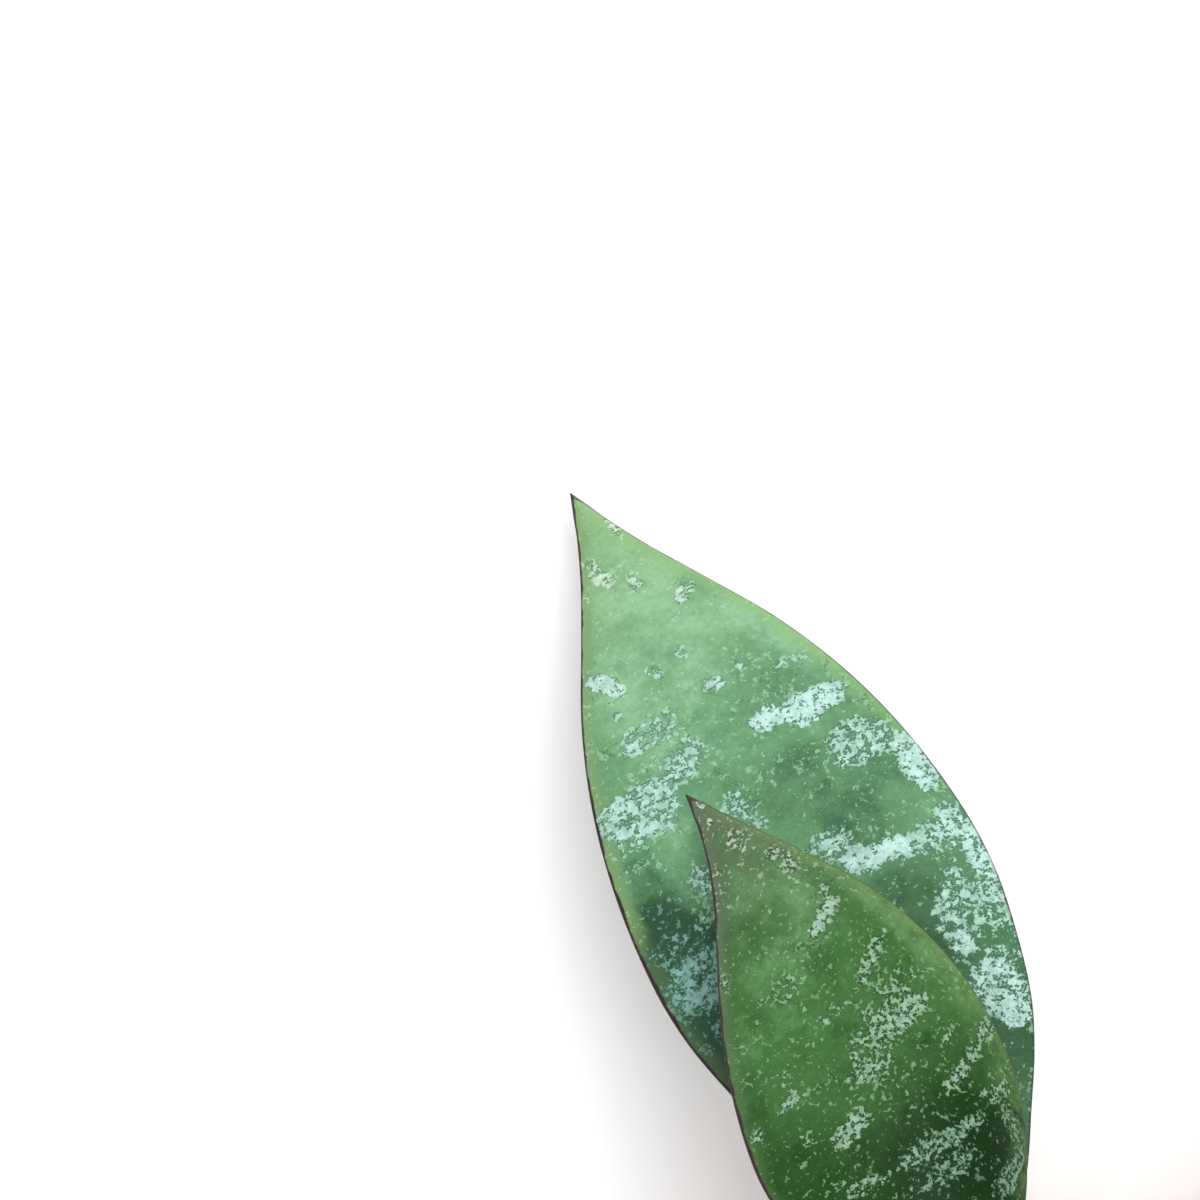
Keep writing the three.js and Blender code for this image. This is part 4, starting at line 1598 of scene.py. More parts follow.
@dataclass(frozen=True)
class Vine:
    """One rooted cutting: its stem through given points, its swollen nodes, aerial roots and tip."""

    name: str
    points: tuple[Point, ...]
    nodes: tuple[int, ...]
    radii: Span

    STEPS_PER_POINT = 14
    SIDES = 16
    NODE_SWELLING = 0.5
    NODE_REACH = 0.0032
    BARK_RELIEF = 0.00012
    ROOT_SPACING = 0.0026
    ROOT_LENGTH = 0.0021
    BUD_LENGTH = 0.006
    BUD_SPREAD = 0.0014
    BUD_RADIUS = 0.0011
    BUD_OUTLINE = ((0, 0.85), (0.3, 1.25), (0.6, 0.95), (0.85, 0.42), (1, 0.03))
    BUD_ROWS = 12
    BUD_PARTS = ((-1, 0.86, 0.45), (0, 0.72, 0.8), (1, 1.0, 0.45))
    BUD_BOW = ((0.0, 0.0), (0.35, 0.9), (0.75, 0.6), (1.0, 0.1))
    BUD_FOOT = 0.25
    CENTRIPETAL = 0.5
    BARK = Noise(380.0, 3.0, 0.6, weight=4.0)
    ROOT_SHAPE = {"Vertices": 6, "Side Segments": 3, "Radius Top": 0.00022, "Radius Bottom": 0.0004}
    ROOT_TILT = (1.1, 1.7)
    ROOT_SCALES = ((0.7, 0.7, 0.5), (1.0, 1.0, 1.1))
    ROOT_SEEDS = (3, 4, 5)
    ROOTS_ABOVE = 0.068

    def path(self) -> tuple[Array, Array]:
        """The stem's centre line, as a centripetal Catmull-Rom curve through its points.

        Returns:
            Its points, and how far along each is, from 0 to 1.
        """
        given = np.array(self.points)
        ends = (2 * given[0] - given[1], 2 * given[-1] - given[-2])
        p = np.concatenate([[ends[0]], given, [ends[1]]])
        count = len(given) - 1
        line = []
        for i in range(count):
            a, b, c, d = p[i : i + 4]
            gaps = [float(np.linalg.norm(v)) ** self.CENTRIPETAL for v in (b - a, c - b, d - c)]
            first = ((b - a) / gaps[0] - (c - a) / (gaps[0] + gaps[1]) + (c - b) / gaps[1]) * gaps[1]
            second = ((c - b) / gaps[1] - (d - b) / (gaps[1] + gaps[2]) + (d - c) / gaps[2]) * gaps[1]
            t = np.arange(self.STEPS_PER_POINT + (i == count - 1))[:, None] / self.STEPS_PER_POINT
            line.append(
                b
                + first * t
                + (3 * (c - b) - 2 * first - second) * t**2
                + (2 * (b - c) + first + second) * t**3
            )
        line = np.concatenate(line)
        return line, np.linspace(0, 1, len(line))

    def girth(self, line: Array, along: Array) -> Array:
        """The stem's radius, which swells at its nodes.

        Args:
            line: The centre line's points.
            along: How far along each is.

        Returns:
            The radius at each point.
        """
        plain = self.radii[0] + (self.radii[1] - self.radii[0]) * along
        swelling = np.zeros_like(along)
        for node in self.nodes:
            far = np.linalg.norm(line - np.array(self.points[node]), axis=1) / self.NODE_REACH
            swelling = np.maximum(swelling, np.exp(-far * far))
        return plain * (1 + swelling * self.NODE_SWELLING)

    def start(self) -> Mesh:
        """The centre line as a string of edges that carries its radius."""
        line, along = self.path()
        mesh = bpy.data.meshes.new(self.name + "_line")
        edges = [(i, i + 1) for i in range(len(line) - 1)]
        mesh.from_pydata(line.tolist(), edges, [])
        put_attribute(mesh, "girth", self.girth(line, along))
        put_attribute(mesh, "along", along)
        return mesh

    def build(self, stems: Tree, roots: Tree, finish: Material) -> None:
        """Builds the stem in place of its plain solid, with its aerial roots and its bud.

        Args:
            stems: The tree that sweeps a stem.
            roots: The tree that sets the roots.
            finish: The vine's finish.
        """
        sizes = {"Sides": self.SIDES, "Bark_relief": self.BARK_RELIEF, "Finish": finish}
        place_piece(grow(f"{self.name}_fine", self.start(), stems, **sizes), "vine", self.name)
        sizes = {"Spacing": self.ROOT_SPACING, "Root_length": self.ROOT_LENGTH, "Finish": finish}
        place_piece(grow(f"{self.name}_roots", self.start(), roots, **sizes), "vine")
        place_piece(self.bud(finish), "vine")

    def bud(self, finish: Material) -> Mesh:
        """The bud at the vine's tip: a pair of folded leaflets with the growing point between them.

        Args:
            finish: The vine's finish.

        Returns:
            The mesh.
        """
        line, _ = self.path()
        heading = (line[-1] - line[-2]) / np.linalg.norm(line[-1] - line[-2])
        side = np.array([-heading[1], heading[0], 0]) / math.hypot(heading[0], heading[1])
        rise = np.cross(heading, side)
        places = np.linspace(0, 1, self.BUD_ROWS)
        angles = np.arange(self.SIDES) * 2 * np.pi / self.SIDES
        whole = bmesh.new()
        for aside, share, flat in self.BUD_PARTS:
            reach = heading * self.BUD_LENGTH * share
            spread = side * self.BUD_SPREAD * aside
            start = line[-1] - heading * self.BUD_RADIUS + spread * self.BUD_FOOT
            ends = np.array([start + reach * ahead + spread * bow for ahead, bow in self.BUD_BOW])
            points, _ = bezier(ends, places)
            radius = self.BUD_RADIUS * smooth_line(self.BUD_OUTLINE, places)[:, None, None]
            round_about = rise * np.cos(angles)[:, None] + side * flat * np.sin(angles)[:, None]
            part = plain_mesh("leaflet", points[:, None] + radius * round_about, finish)
            whole.from_mesh(part)
            bpy.data.meshes.remove(part)
        mesh = bpy.data.meshes.new(f"{self.name}_bud")
        whole.to_mesh(mesh)
        whole.free()
        mesh.materials.append(finish)
        put_attribute(mesh, "along", np.ones(len(mesh.vertices)))
        return mesh

    @classmethod
    def stem_tree(cls) -> Tree:
        """The tree that sweeps a stem of changing girth along its line.

        Returns:
            The tree.
        """
        nodes = GrowthNodes("vine_stem", Sides="INT", Bark_relief="FLOAT", Finish="MATERIAL")
        curve = nodes.add("GeometryNodeMeshToCurve", {0: nodes.given["Mesh"]}).outputs[0]
        girth = nodes.add("GeometryNodeInputNamedAttribute", {"Name": "girth"}, data_type="FLOAT").outputs[0]
        feeds = {"Resolution": nodes.given["Sides"], "Radius": 1.0}
        ring = nodes.add("GeometryNodeCurvePrimitiveCircle", feeds).outputs[0]
        feeds = {"Curve": curve, "Profile Curve": ring, "Scale": girth, "Fill Caps": True}
        skin = nodes.add("GeometryNodeCurveToMesh", feeds).outputs[0]
        bark = nodes.swing(nodes.position(), cls.BARK)
        height = nodes.times(bark, nodes.times(nodes.given["Bark relief"], cls.BARK.weight))
        normal = nodes.add("GeometryNodeInputNormal").outputs[0]
        return nodes.finish(nodes.moved(skin, nodes.scaled(normal, height)))

    @classmethod
    def root_tree(cls) -> Tree:
        """The tree that sets short aerial roots along a vine.

        Returns:
            The tree.
        """
        nodes = GrowthNodes("aerial_roots", Spacing="FLOAT", Root_length="FLOAT", Finish="MATERIAL")
        curve = nodes.add("GeometryNodeMeshToCurve", {0: nodes.given["Mesh"]}).outputs[0]
        feeds = {"Curve": curve, "Length": nodes.given["Spacing"]}
        spots = nodes.add("GeometryNodeCurveToPoints", feeds, mode="LENGTH").outputs
        cone = nodes.add("GeometryNodeMeshCone", {**cls.ROOT_SHAPE, "Depth": nodes.given["Root length"]})
        spin_seed, tilt_seed, scale_seed = cls.ROOT_SEEDS
        turned = spots["Rotation"]
        for axis, low, high, seed in (("Z", 0.0, FULL_TURN, spin_seed), ("X", *cls.ROOT_TILT, tilt_seed)):
            turn = nodes.join(**{axis: nodes.chance(low, high, seed)})
            feeds = {"Rotation": turned, "Rotate By": turn}
            turned = nodes.add("FunctionNodeRotateRotation", feeds, rotation_space="LOCAL").outputs[0]
        height = nodes.split(nodes.position())["Z"]
        feeds = {
            "Points": spots["Points"],
            "Selection": nodes.math("GREATER_THAN", height, cls.ROOTS_ABOVE),
            "Instance": cone.outputs[0],
            "Rotation": turned,
            "Scale": nodes.chance(*cls.ROOT_SCALES, scale_seed, vector=True),
        }
        return nodes.finish(nodes.add("GeometryNodeInstanceOnPoints", feeds).outputs[0])


@dataclass(frozen=True)
class ClayPot:
    """The clay pot: a tapered wall under a plain collar, with one drain hole through its floor."""

    height: float = 0.070
    rim_radius: float = 0.044
    foot_radius: float = 0.029
    foot_chamfer: float = 0.0012
    taper: float = 0.215
    wall: float = 0.0046
    floor: float = 0.0055
    collar_height: float = 0.018
    collar_draft: float = 0.0012
    collar_rounding: float = 0.0009
    rim_rounding: float = 0.0016
    inner_fillet: float = 0.002
    drain_radius: float = 0.0065

    SIDES = 160
    STEP = 0.0012
    UNEVENNESS = 0.00016
    UNEVEN = Noise(1.3, 2.0)
    UNEVEN_ROWS = 9.0
    DOUBLES = 1e-6
    CORNER_STEPS = 8
    CHAMFER_ARC = (-90, -12)

    def outer_radius(self, height: float) -> float:
        """Radius of the outer wall below the collar at a height."""
        return self.foot_radius + self.taper * (height - self.foot_chamfer)

    def inner_radius(self, height: float) -> float:
        """Radius of the inner wall at a height."""
        return self.rim_radius - self.wall - self.taper * (self.height - self.rim_rounding - height)

    @classmethod
    def corner(cls, radius: float, across: float, up: float, start: float, end: float) -> list[Span]:
        """Points of a rounded corner.

        Args:
            radius: Its radius.
            across: Its centre's distance from the axis.
            up: Its centre's height.
            start: The angle that it starts at, in degrees.
            end: The angle that it ends at.

        Returns:
            Distances from the axis, with heights.
        """
        steps = cls.CORNER_STEPS
        angles = [math.radians(start + (end - start) * step / steps) for step in range(steps + 1)]
        return [(across + radius * math.cos(a), up + radius * math.sin(a)) for a in angles]

    def profile(self) -> list[Span]:
        """The closed outline that turns round the axis, as distances from the axis and heights.

        Returns:
            Its points, no further apart than the step.
        """
        foot = self.height - self.collar_height
        rim = self.height - self.rim_rounding
        edge = self.rim_radius - self.collar_draft - self.collar_rounding
        low = self.floor + self.inner_fillet
        chamfer = self.foot_chamfer
        points = [
            (self.drain_radius + chamfer / 2, 0),
            *self.corner(chamfer, self.foot_radius - chamfer, chamfer, *self.CHAMFER_ARC),
            (self.outer_radius(foot), foot),
            *self.corner(self.collar_rounding, edge, foot + self.collar_rounding, -90, 0),
            *self.corner(self.rim_rounding, self.rim_radius - self.rim_rounding, rim, 0, 90),
            *self.corner(self.rim_rounding, self.rim_radius - self.wall + self.rim_rounding, rim, 90, 180),
            (self.inner_radius(low), low),
            (self.inner_radius(self.floor) - self.inner_fillet, self.floor),
            (self.drain_radius + chamfer / 2, self.floor),
            (self.drain_radius, self.floor - chamfer / 2),
            (self.drain_radius, chamfer / 2),
        ]
        fine = []
        for start, end in zip(points, points[1:] + points[:1]):
            pieces = max(1, math.ceil(math.dist(start, end) / self.STEP))
            for i in range(pieces):
                share = i / pieces
                fine.append(tuple(a + (b - a) * share for a, b in zip(start, end)))
        return fine

    def build(self, finish: Material) -> None:
        """Turns the pot in place of its plain solid.

        Args:
            finish: Its clay.
        """
        fine = self.profile()
        outline = bpy.data.meshes.new("pot_outline")
        outline.from_pydata([(across, 0, up) for across, up in fine], [], [])
        sizes = {"Sides": self.SIDES, "Rows": len(fine) + 1, "Unevenness": self.UNEVENNESS, "Finish": finish}
        mesh = grow("clay_pot_fine", outline, self.lathe_tree(), **sizes)
        place_piece(mesh, "clay", "clay_pot")

    @classmethod
    def lathe_tree(cls) -> Tree:
        """The tree that turns an outline of points round the axis.

        Returns:
            The tree.
        """
        nodes = GrowthNodes("pot_lathe", Sides="INT", Rows="INT", Unevenness="FLOAT", Finish="MATERIAL")
        columns = nodes.plus(nodes.given["Sides"], 1.0)
        feeds = {"Size X": 1.0, "Size Y": 1.0, "Vertices X": columns, "Vertices Y": nodes.given["Rows"]}
        sheet = nodes.add("GeometryNodeMeshGrid", feeds).outputs[0]
        spot = nodes.split(nodes.position())
        angle = nodes.times(nodes.plus(spot["X"], HALF), FULL_TURN)
        rows = nodes.minus(nodes.given["Rows"], 1.0)
        row = nodes.math("ROUND", nodes.times(nodes.plus(spot["Y"], HALF), rows))
        row = nodes.math("MODULO", row, rows)
        feeds = {"Geometry": nodes.given["Mesh"], "Value": nodes.position(), "Index": row}
        reader = nodes.add("GeometryNodeSampleIndex", feeds, data_type="FLOAT_VECTOR", domain="POINT")
        outline = nodes.split(reader.outputs[0])
        cosine = nodes.math("COSINE", angle)
        sine = nodes.math("SINE", angle)
        round_about = nodes.join(X=cosine, Y=sine, Z=nodes.times(outline["Z"], cls.UNEVEN_ROWS))
        uneven = nodes.swing(round_about, cls.UNEVEN)
        radius = nodes.plus(outline["X"], nodes.times(uneven, nodes.given["Unevenness"]))
        moved = nodes.join(X=nodes.times(radius, cosine), Y=nodes.times(radius, sine), Z=outline["Z"])
        turned = nodes.add("GeometryNodeSetPosition", {"Geometry": sheet, "Position": moved}).outputs[0]
        feeds = {0: turned, "Distance": cls.DOUBLES}
        return nodes.finish(nodes.add("GeometryNodeMergeByDistance", feeds).outputs[0])


@dataclass(frozen=True)
class Litter:
    """One kind of bit that is strewn on the mix, in metres, with the seed that its places are drawn from."""

    name: str
    from_wall: float
    spacing: float
    size: float
    seed: int
    lift: float = 0.0
    tilt: float = 0.0

    def strew(self, surface: Mesh, tree: Tree, finish: Material) -> None:
        """Strews it over a surface.

        Args:
            surface: What it lies on.
            tree: The tree that makes it.
            finish: Its finish.
        """
        sizes = {"Spacing": self.spacing, "Size": self.size, "Seed": self.seed, "Finish": finish}
        mesh = grow(self.name, surface, tree, **sizes, Lift=self.lift, Tilt=self.tilt)
        place_piece(mesh, "mix")


class LitterNodes(GrowthNodes):
    """A tree that strews copies of one bit over a mesh.

    Each has a size between the two scales, a tone that its finish reads, and dents, in waves to the metre.
    """

    NAME: str
    SCALES: tuple[Point, Point]
    TONE_SEED: int
    DENTS: float
    DENSEST = 400000.0

    def __init__(self) -> None:
        """Makes the tree and spreads its points, no two closer than the spacing."""
        kinds = {"Spacing": "FLOAT", "Size": "FLOAT", "Seed": "INT", "Lift": "FLOAT", "Tilt": "FLOAT"}
        super().__init__(self.NAME, **kinds, Finish="MATERIAL")
        feeds = {
            "Mesh": self.given["Mesh"],
            "Distance Min": self.given["Spacing"],
            "Density Max": self.DENSEST,
            "Seed": self.given["Seed"],
        }
        node = self.add("GeometryNodeDistributePointsOnFaces", feeds, distribute_method="POISSON")
        self.points = node.outputs["Points"]

    def strewn(self, bit: Feed, scale_seed: Feed, depth: Feed, **placing: Feed) -> Tree:
        """Puts a bit on every point, dents the copies and closes the tree.

        Args:
            bit: The bit's geometry.
            scale_seed: What the copies' sizes are drawn from.
            depth: How far a point of a copy may move.
            placing: The copies' Rotation, where they are turned.

        Returns:
            The finished tree.
        """
        scale = self.chance(*self.SCALES, scale_seed, vector=True)
        feeds = {"Points": self.points, "Instance": bit, **placing, "Scale": scale}
        copies = self.add("GeometryNodeInstanceOnPoints", feeds).outputs[0]
        feeds = {"Geometry": copies, "Name": "tone", "Value": self.chance(0.0, 1.0, self.TONE_SEED)}
        toned = self.add("GeometryNodeStoreNamedAttribute", feeds, data_type="FLOAT", domain="INSTANCE")
        real = self.add("GeometryNodeRealizeInstances", {0: toned.outputs[0]}).outputs[0]
        feeds = {"Vector": self.position(), "Scale": self.DENTS, "Detail": 2.0}
        noise = self.add("ShaderNodeTexNoise", feeds).outputs["Color"]
        dents = self.scaled(self.vector_math("SUBTRACT", noise, (HALF, HALF, HALF)), depth)
        lift = self.join(Z=self.given["Lift"])
        return self.finish(self.moved(self.moved(real, dents), lift))


class ChipNodes(LitterNodes):
    """Strews flat, broken bark chips."""

    NAME = "bark_chips"
    WIDTH = 0.6
    HEIGHT = 0.3
    EDGES = {"Vertices X": 4, "Vertices Y": 3, "Vertices Z": 2}
    SCALES = ((0.45, 0.45, 0.5), (1.0, 1.0, 1.15))
    SCALE_SEED = 7
    TONE_SEED = 8
    DENTS = 260.0
    DENT_DEPTH = 0.42

    def whole(self) -> Tree:
        """The finished tree."""
        size, tilt = self.given["Size"], self.given["Tilt"]
        box = self.join(X=size, Y=self.times(size, self.WIDTH), Z=self.times(size, self.HEIGHT))
        chip = self.add("GeometryNodeMeshCube", {"Size": box, **self.EDGES}).outputs[0]
        back = self.times(tilt, -1.0)
        low = self.join(X=back, Y=back, Z=0.0)
        high = self.join(X=tilt, Y=tilt, Z=FULL_TURN)
        turn = self.chance(low, high, self.given["Seed"], vector=True)
        return self.strewn(chip, self.SCALE_SEED, self.times(size, self.DENT_DEPTH), Rotation=turn)


class GrainNodes(LitterNodes):
    """Strews white grains."""

    NAME = "perlite_grains"
    ROUNDNESS = 2
    SCALES = ((0.4, 0.4, 0.4), (1.1, 1.1, 1.0))
    TONE_SEED = 12
    DENTS = 900.0
    DENT_DEPTH = 0.9

    def whole(self) -> Tree:
        """The finished tree."""
        size = self.given["Size"]
        ball = self.add("GeometryNodeMeshIcoSphere", {"Radius": size, "Subdivisions": self.ROUNDNESS})
        return self.strewn(ball.outputs[0], self.given["Seed"], self.times(size, self.DENT_DEPTH))


class FibreNodes(LitterNodes):
    """Strews thin curved fibres."""

    NAME = "coir_fibres"
    BOW = {"Resolution": 8, "Sweep Angle": 1.1}
    THREAD = {"Resolution": 4, "Radius": 0.00014}
    MIDDLE = -0.9
    TURNS = ((-0.3, -0.3, 0.0), (0.3, 0.3, FULL_TURN))
    SCALES = ((0.4, 0.4, 0.4), (1.0, 1.0, 1.0))
    SCALE_SEED = 14
    TONE_SEED = 15
    DENTS = 120.0
    DENT_DEPTH = 0.002

    def whole(self) -> Tree:
        """The finished tree."""
        size = self.given["Size"]
        bow = self.add("GeometryNodeCurveArc", {**self.BOW, "Radius": size}).outputs[0]
        ring = self.add("GeometryNodeCurvePrimitiveCircle", self.THREAD).outputs[0]
        feeds = {"Curve": bow, "Profile Curve": ring, "Fill Caps": True}
        skin = self.add("GeometryNodeCurveToMesh", feeds).outputs[0]
        fibre = self.moved(skin, self.join(X=self.times(size, self.MIDDLE)))
        turn = self.chance(*self.TURNS, self.given["Seed"], vector=True)
        return self.strewn(fibre, self.SCALE_SEED, self.DENT_DEPTH, Rotation=turn)


@dataclass(frozen=True)
class PottingMix:
    """Coarse bark mix that fills the pot: its uneven body, bark chips, white grains and coir on top."""

    pot: ClayPot
    level: float = 0.062
    mound: float = 0.0024
    clearance: float = 0.0003

    SIDES = 144
    RINGS = 48
    BROAD = (0.0007, 420.0, 370.0)
    FINE = (0.0004, 900.0, 800.0)
    CRUMB_RELIEF = 0.0016
    CRUMBS = Noise(420.0, 4.0, 0.7)
    CRUMB_MIDDLE = 0.55
    CRUMBS_ABOVE = Fade(0.06, 0.0622)
    BODY_TONE = 0.4
    BODY_MIDDLE = 0.004
    SURFACE_MIDDLE = 0.02
    SLOPE_CLEARANCE = 1.4
    CHIPS = (
        Litter("bark_chips", 0.0062, 0.0042, 0.0085, 4, 0.0004, 0.5),
        Litter("bark_crumbs", 0.0026, 0.0021, 0.0042, 9, 0.0006, 0.9),
    )
    GRAINS = Litter("perlite_grains", 0.0022, 0.0052, 0.0013, 21)
    FIBRES = Litter("coir_fibres", 0.008, 0.006, 0.012, 33, 0.0012)

    def top(self, x: Array, y: Array) -> Array:
        """Height of the mix's uneven top.

        Args:
            x: Places along X.
            y: Places along Y.

        Returns:
            The height there.
        """
        out = np.hypot(x, y) / self.pot.inner_radius(self.level)
        broad = self.BROAD[0] * np.sin(self.BROAD[1] * x + 1) * np.cos(self.BROAD[2] * y)
        fine = self.FINE[0] * np.sin(self.FINE[1] * x - self.FINE[2] * y)
        return self.level + self.mound * (1 - out * out) + (broad + fine) * (1 - out**4)

    def body(self, finish: Material) -> Mesh:
        """The body of the mix, as deep as the pot.

        Args:
            finish: Its finish.

        Returns:
            The mesh.
        """
        angle = np.arange(self.SIDES) * 2 * np.pi / self.SIDES
        circle = np.stack([np.cos(angle), np.sin(angle)], axis=1)
        low = self.pot.floor + self.clearance
        edge = self.pot.inner_radius(self.level) - self.clearance
        fillet = self.pot.inner_fillet
        sides = [
            (self.pot.inner_radius(low) - fillet - self.clearance, low),
            (self.pot.inner_radius(low + fillet) - self.clearance * self.SLOPE_CLEARANCE, low + fillet),
        ]
        rings = [np.column_stack([circle * radius, np.full(self.SIDES, height)]) for radius, height in sides]
        for share in np.linspace(1, self.BODY_MIDDLE, self.RINGS):
            spots = circle * edge * share
            rings.append(np.column_stack([spots, self.top(spots[:, 0], spots[:, 1])]))
        mesh = plain_mesh("mix_body", np.array(rings), finish)
        put_attribute(mesh, "tone", np.full(len(mesh.vertices), self.BODY_TONE))
        return mesh

    def surface(self, from_wall: float) -> Mesh:
        """The top of the mix as a thin sheet that the chips lie on.

        Args:
            from_wall: How far from the pot's wall it ends.

        Returns:
            The mesh.
        """
        reach = self.pot.inner_radius(self.level) - from_wall
        angle = np.arange(self.SIDES) * 2 * np.pi / self.SIDES
        rows = []
        for share in np.linspace(1, self.SURFACE_MIDDLE, self.RINGS):
            x, y = reach * share * np.cos(angle), reach * share * np.sin(angle)
            rows.append(np.column_stack([x, y, self.top(x, y)]))
        mesh = bpy.data.meshes.new("mix_surface")
        faces = tube_faces(self.RINGS, self.SIDES)
        mesh.from_pydata(np.concatenate(rows).tolist(), [], faces.tolist())
        return mesh

    def build(self, finishes: list[Material]) -> None:
        """Fills the pot in place of the plain solid.

        Args:
            finishes: Those of the fine dark mix, the bark, the white grains and the fibres.
        """
        peat, bark, perlite, coir = finishes
        sizes = {"Relief": self.CRUMB_RELIEF, "Finish": peat}
        body = grow("potting_mix_fine", self.body(peat), self.crumb_tree(), **sizes)
        place_piece(body, "mix", "potting_mix")
        chips = ChipNodes().whole()
        for litter in self.CHIPS:
            litter.strew(self.surface(litter.from_wall), chips, bark)
        self.GRAINS.strew(self.surface(self.GRAINS.from_wall), GrainNodes().whole(), perlite)
        self.FIBRES.strew(self.surface(self.FIBRES.from_wall), FibreNodes().whole(), coir)

    @classmethod
    def crumb_tree(cls) -> Tree:
        """The tree that roughens the mix into crumbs.

        Returns:
            The tree.
        """
        nodes = GrowthNodes("mix_crumbs", Relief="FLOAT", Finish="MATERIAL")
        place = nodes.position()
        upper = nodes.fade(nodes.split(place)["Z"], cls.CRUMBS_ABOVE)
        crumbs = nodes.minus(nodes.noise(place, cls.CRUMBS), cls.CRUMB_MIDDLE)
        depth = nodes.times(crumbs, nodes.given["Relief"], upper)
        return nodes.finish(nodes.moved(nodes.given["Mesh"], nodes.join(Z=depth)))


VINES = (
    Vine(
        name="vine_back",
        points=(
            (0.005, 0.002, 0.034), (0.0045, 0.004, 0.050), (0.004, 0.008, 0.063),
            (0.003, 0.015, 0.071), (0.0015, 0.023, 0.0775), (0.004, 0.030, 0.086),
            (0.011, 0.033, 0.099), (0.022, 0.028, 0.116), (0.033, 0.015, 0.134),
            (0.042, -0.003, 0.150), (0.046, -0.022, 0.158), (0.045, -0.039, 0.157),
        ),
        nodes=(4, 7, 10),
        radii=(0.0021, 0.00085),
    ),
    Vine(
        name="vine_centre",
        points=(
            (-0.009, -0.007, 0.032), (-0.0095, -0.0065, 0.048), (-0.0105, -0.005, 0.062),
            (-0.0125, -0.002, 0.076), (-0.016, 0.003, 0.087), (-0.019, 0.008, 0.095),
            (-0.020, 0.0095, 0.104), (-0.018, 0.008, 0.112),
        ),
        nodes=(3, 5),
        radii=(0.0023, 0.001),
    ),
    Vine(
        name="vine_front",
        points=(
            (0.004, -0.016, 0.033), (0.004, -0.017, 0.048), (0.005, -0.019, 0.061),
            (0.008, -0.025, 0.074), (0.012, -0.036, 0.082), (0.017, -0.050, 0.081),
            (0.022, -0.064, 0.073), (0.026, -0.075, 0.060), (0.0275, -0.081, 0.045),
            (0.0265, -0.084, 0.031),
        ),
        nodes=(4, 7),
        radii=(0.0022, 0.0009),
    ),
)
BACK, CENTRE, FRONT = VINES

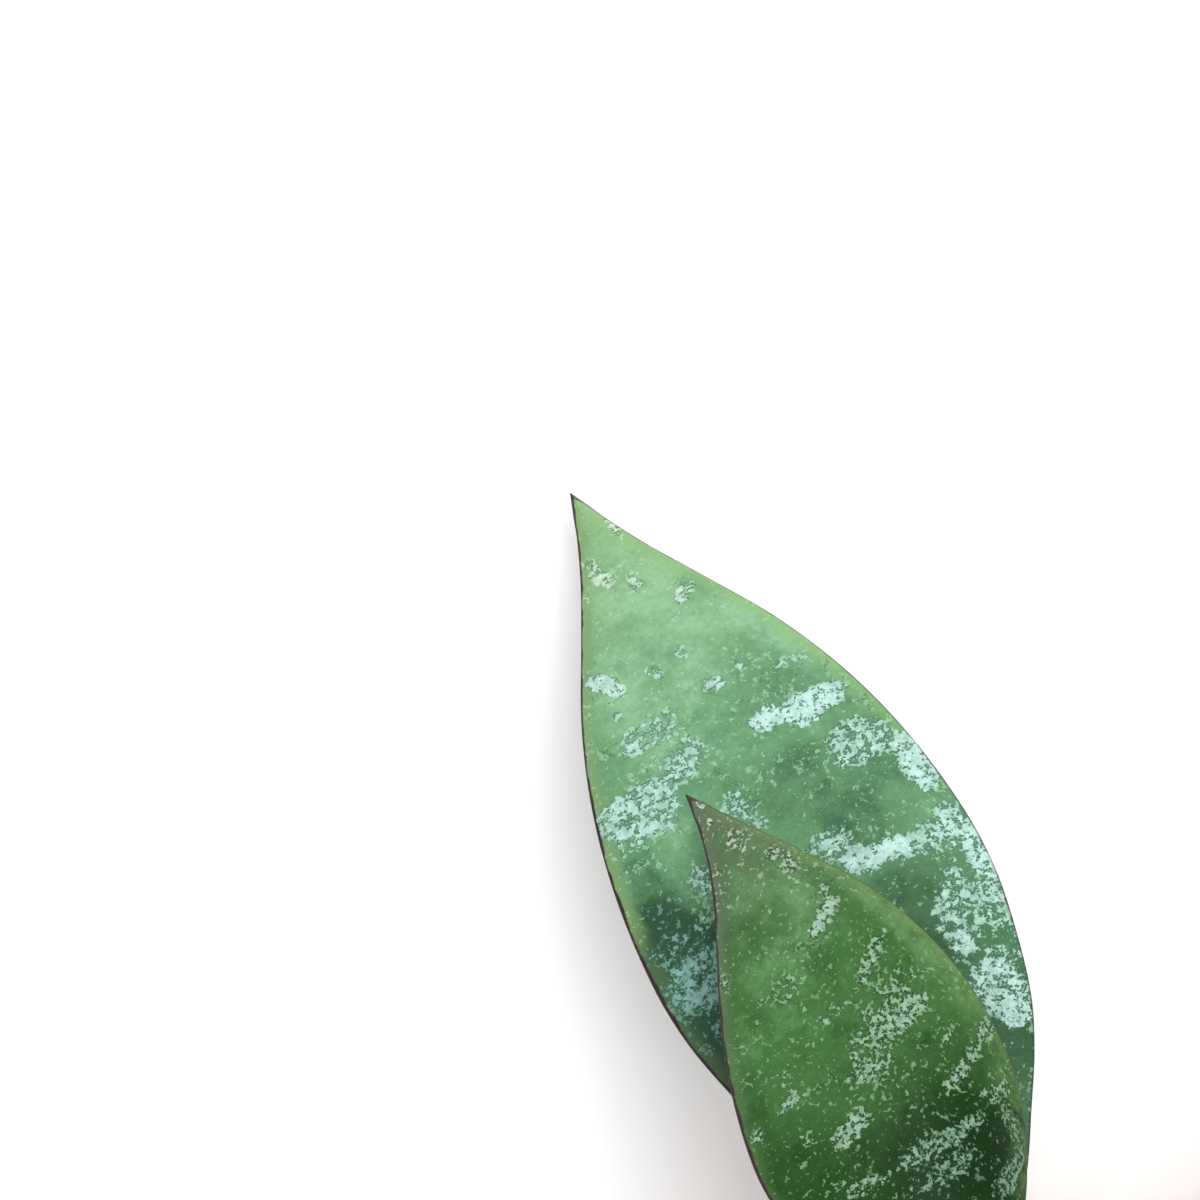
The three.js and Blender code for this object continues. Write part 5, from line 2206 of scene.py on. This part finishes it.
LEAVES = (
    Leaf(
        name="leaf_back_lower", root=BACK.points[4], foot=(-0.0148, 0.042, 0.080),
        heading=117.8, turn=3.7, rise=-6, fall=-52, length=0.148, half_width=0.0267,
        curl=(0.2, 0.25), wave=0.0005, waves=2.0, phase=0.4, roll=0,
        tone=Tone.BLUE_GREEN, streak_turn=0.0, splashes=REAR_SPLASHES, clouds=REAR_CLOUDS_AND_SHADOW,
    ),
    Leaf(
        name="leaf_back_upper", root=CENTRE.points[5], foot=(-0.0202, 0.0276, 0.097),
        heading=100, turn=34.6, rise=2, fall=-38, length=0.096, half_width=0.022,
        curl=(0.4, 1.4), wave=0.0005, waves=2.0, phase=1.0, roll=0,
        tone=Tone.OLIVE, streak_turn=30.0, splashes=FRONT_SPLASHES, clouds=FRONT_CLOUDS,
    ),
    Leaf(
        name="leaf_right_back", root=BACK.points[4], foot=(0.018, 0.030, 0.080),
        heading=18, turn=-10, rise=8, fall=-38, length=0.124, half_width=0.024,
        curl=(0.35, 0.5), wave=0.0016, waves=2.4, phase=2.0, roll=-6,
        tone=Tone.BLUE_GREEN, streak_turn=12.0, seed=3,
    ),
    Leaf(
        name="leaf_right", root=CENTRE.points[3], foot=(0.010, -0.008, 0.082),
        heading=-14, turn=-10, rise=14, fall=-36, length=0.139, half_width=0.0255,
        curl=(0.3, 0.3), wave=0.0016, waves=2.1, phase=4.4, roll=-10,
        tone=Tone.OLIVE, streak_turn=18.0, seed=4,
    ),
    Leaf(
        name="leaf_right_front", root=FRONT.points[4], foot=(0.029, -0.042, 0.082),
        heading=-38, turn=8, rise=4, fall=-46, length=0.112, half_width=0.022,
        curl=(0.6, 0.3), wave=0.0014, waves=2.4, phase=5.2, roll=-8,
        tone=Tone.BLUE_GREEN, streak_turn=8.0, seed=5,
    ),
    Leaf(
        name="leaf_front", root=CENTRE.points[5], foot=(-0.014, -0.009, 0.100),
        heading=-76, turn=-14, rise=16, fall=-30, length=0.122, half_width=0.0225,
        curl=(0.3, 0.45), wave=0.0015, waves=2.2, phase=0.2, roll=4,
        tone=Tone.OLIVE, streak_turn=20.0, seed=6,
    ),
    Leaf(
        name="leaf_left_front", root=FRONT.points[4], foot=(-0.004, -0.046, 0.083),
        heading=222, turn=10, rise=10, fall=-44, length=0.118, half_width=0.023,
        curl=(0.25, 0.5), wave=0.0016, waves=2.2, phase=0.9, roll=6,
        tone=Tone.BLUE_GREEN, streak_turn=10.0, seed=7,
    ),
    Leaf(
        name="leaf_left", root=CENTRE.points[3], foot=(-0.027, -0.007, 0.081),
        heading=188, turn=10, rise=12, fall=-40, length=0.120, half_width=0.0245,
        curl=(0.45, 0.35), wave=0.0018, waves=2.3, phase=3.3, roll=8,
        tone=Tone.BLUE_GREEN, streak_turn=15.0, seed=8,
    ),
    Leaf(
        name="leaf_young_left", root=FRONT.points[7], foot=(0.014, -0.082, 0.062),
        heading=246, turn=14, rise=0, fall=-40, length=0.078, half_width=0.0145,
        curl=(0.5, 0.5), wave=0.001, waves=2.0, phase=2.6, roll=4,
        tone=Tone.YOUNG, streak_turn=12.0, seed=9,
    ),
    Leaf(
        name="leaf_young_right", root=FRONT.points[7], foot=(0.038, -0.076, 0.062),
        heading=-42, turn=-10, rise=4, fall=-46, length=0.064, half_width=0.0125,
        curl=(0.4, 0.6), wave=0.001, waves=2.2, phase=3.9, roll=-4,
        tone=Tone.YOUNG, streak_turn=12.0, seed=10,
    ),
)


@dataclass(frozen=True)
class Studio:
    """White ground, one large soft lamp past the top of the picture, even light all round, and the camera."""

    camera_place: Point = (-0.0725, 0.1354, 0.955)
    focal_pixels: float = 6021.0
    frame_pixels: float = 1200.0
    sensor: float = 36.0
    ground_half: float = 12.0
    lamp_target: Point = (-0.03, 0.09, 0.0)
    lamp_way: Point = (0.10, 0.16, 0.98)
    lamp_distance: float = 1.5
    lamp_size: float = 0.6
    lamp_power: float = 15.0
    sky: float = 0.95
    sky_colour: Colour = (0.97, 0.985, 1.0, 1.0)
    clip_start: float = 0.01

    def camera(self) -> None:
        """Sets the camera straight above the ground, with the photograph's own frame."""
        data = bpy.data.cameras.new("camera")
        data.sensor_fit = "HORIZONTAL"
        data.sensor_width = self.sensor
        data.lens = self.sensor * self.focal_pixels / self.frame_pixels
        data.clip_start = self.clip_start
        camera = put_object("camera", data)
        camera.location = self.camera_place
        bpy.context.scene.camera = camera

    def ground(self, finish: Material) -> None:
        """Lays the ground under the pot.

        Args:
            finish: Its finish.
        """
        half = self.ground_half
        mesh = bpy.data.meshes.new("ground")
        corners = [(-half, -half, 0), (half, -half, 0), (half, half, 0), (-half, half, 0)]
        mesh.from_pydata(corners, [], [range(len(corners))])
        mesh.materials.append(finish)
        put_object("ground", mesh)

    def lights(self) -> None:
        """Hangs the lamp and lights the surroundings."""
        data = bpy.data.lights.new("lamp", "AREA")
        data.shape = "DISK"
        data.size = self.lamp_size
        data.energy = self.lamp_power
        lamp = put_object("lamp", data)
        way = Vector(self.lamp_way).normalized()
        lamp.location = Vector(self.lamp_target) + way * self.lamp_distance
        lamp.rotation_mode = "QUATERNION"
        lamp.rotation_quaternion = way.to_track_quat("Z", "Y")
        world = bpy.data.worlds.new("surroundings")
        world.use_nodes = True
        background = world.node_tree.nodes["Background"]
        background.inputs["Strength"].default_value = self.sky
        background.inputs["Color"].default_value = self.sky_colour
        bpy.context.scene.world = world
        bpy.context.scene.view_settings.view_transform = "Standard"

    def build(self) -> None:
        """Sets the whole studio up."""
        self.camera()
        self.ground(GroundFinish().material())
        self.lights()


def main() -> None:
    """Builds the plant and its studio."""
    logging.basicConfig(level=logging.INFO, format="%(name)s: %(message)s")
    Studio().build()
    pot = ClayPot()
    pot.build(ClayFinish().material())
    PottingMix(pot).build([finish.material() for finish in MIX_FINISHES])
    skin = StemFinish().material()
    stems, roots = Vine.stem_tree(), Vine.root_tree()
    for vine in VINES:
        vine.build(stems, roots, skin)
    finishes = {finish.tone: finish.material() for finish in LEAF_FINISHES}
    for leaf in LEAVES:
        leaf.build(finishes[leaf.tone])


if __name__ == "__main__":
    main()
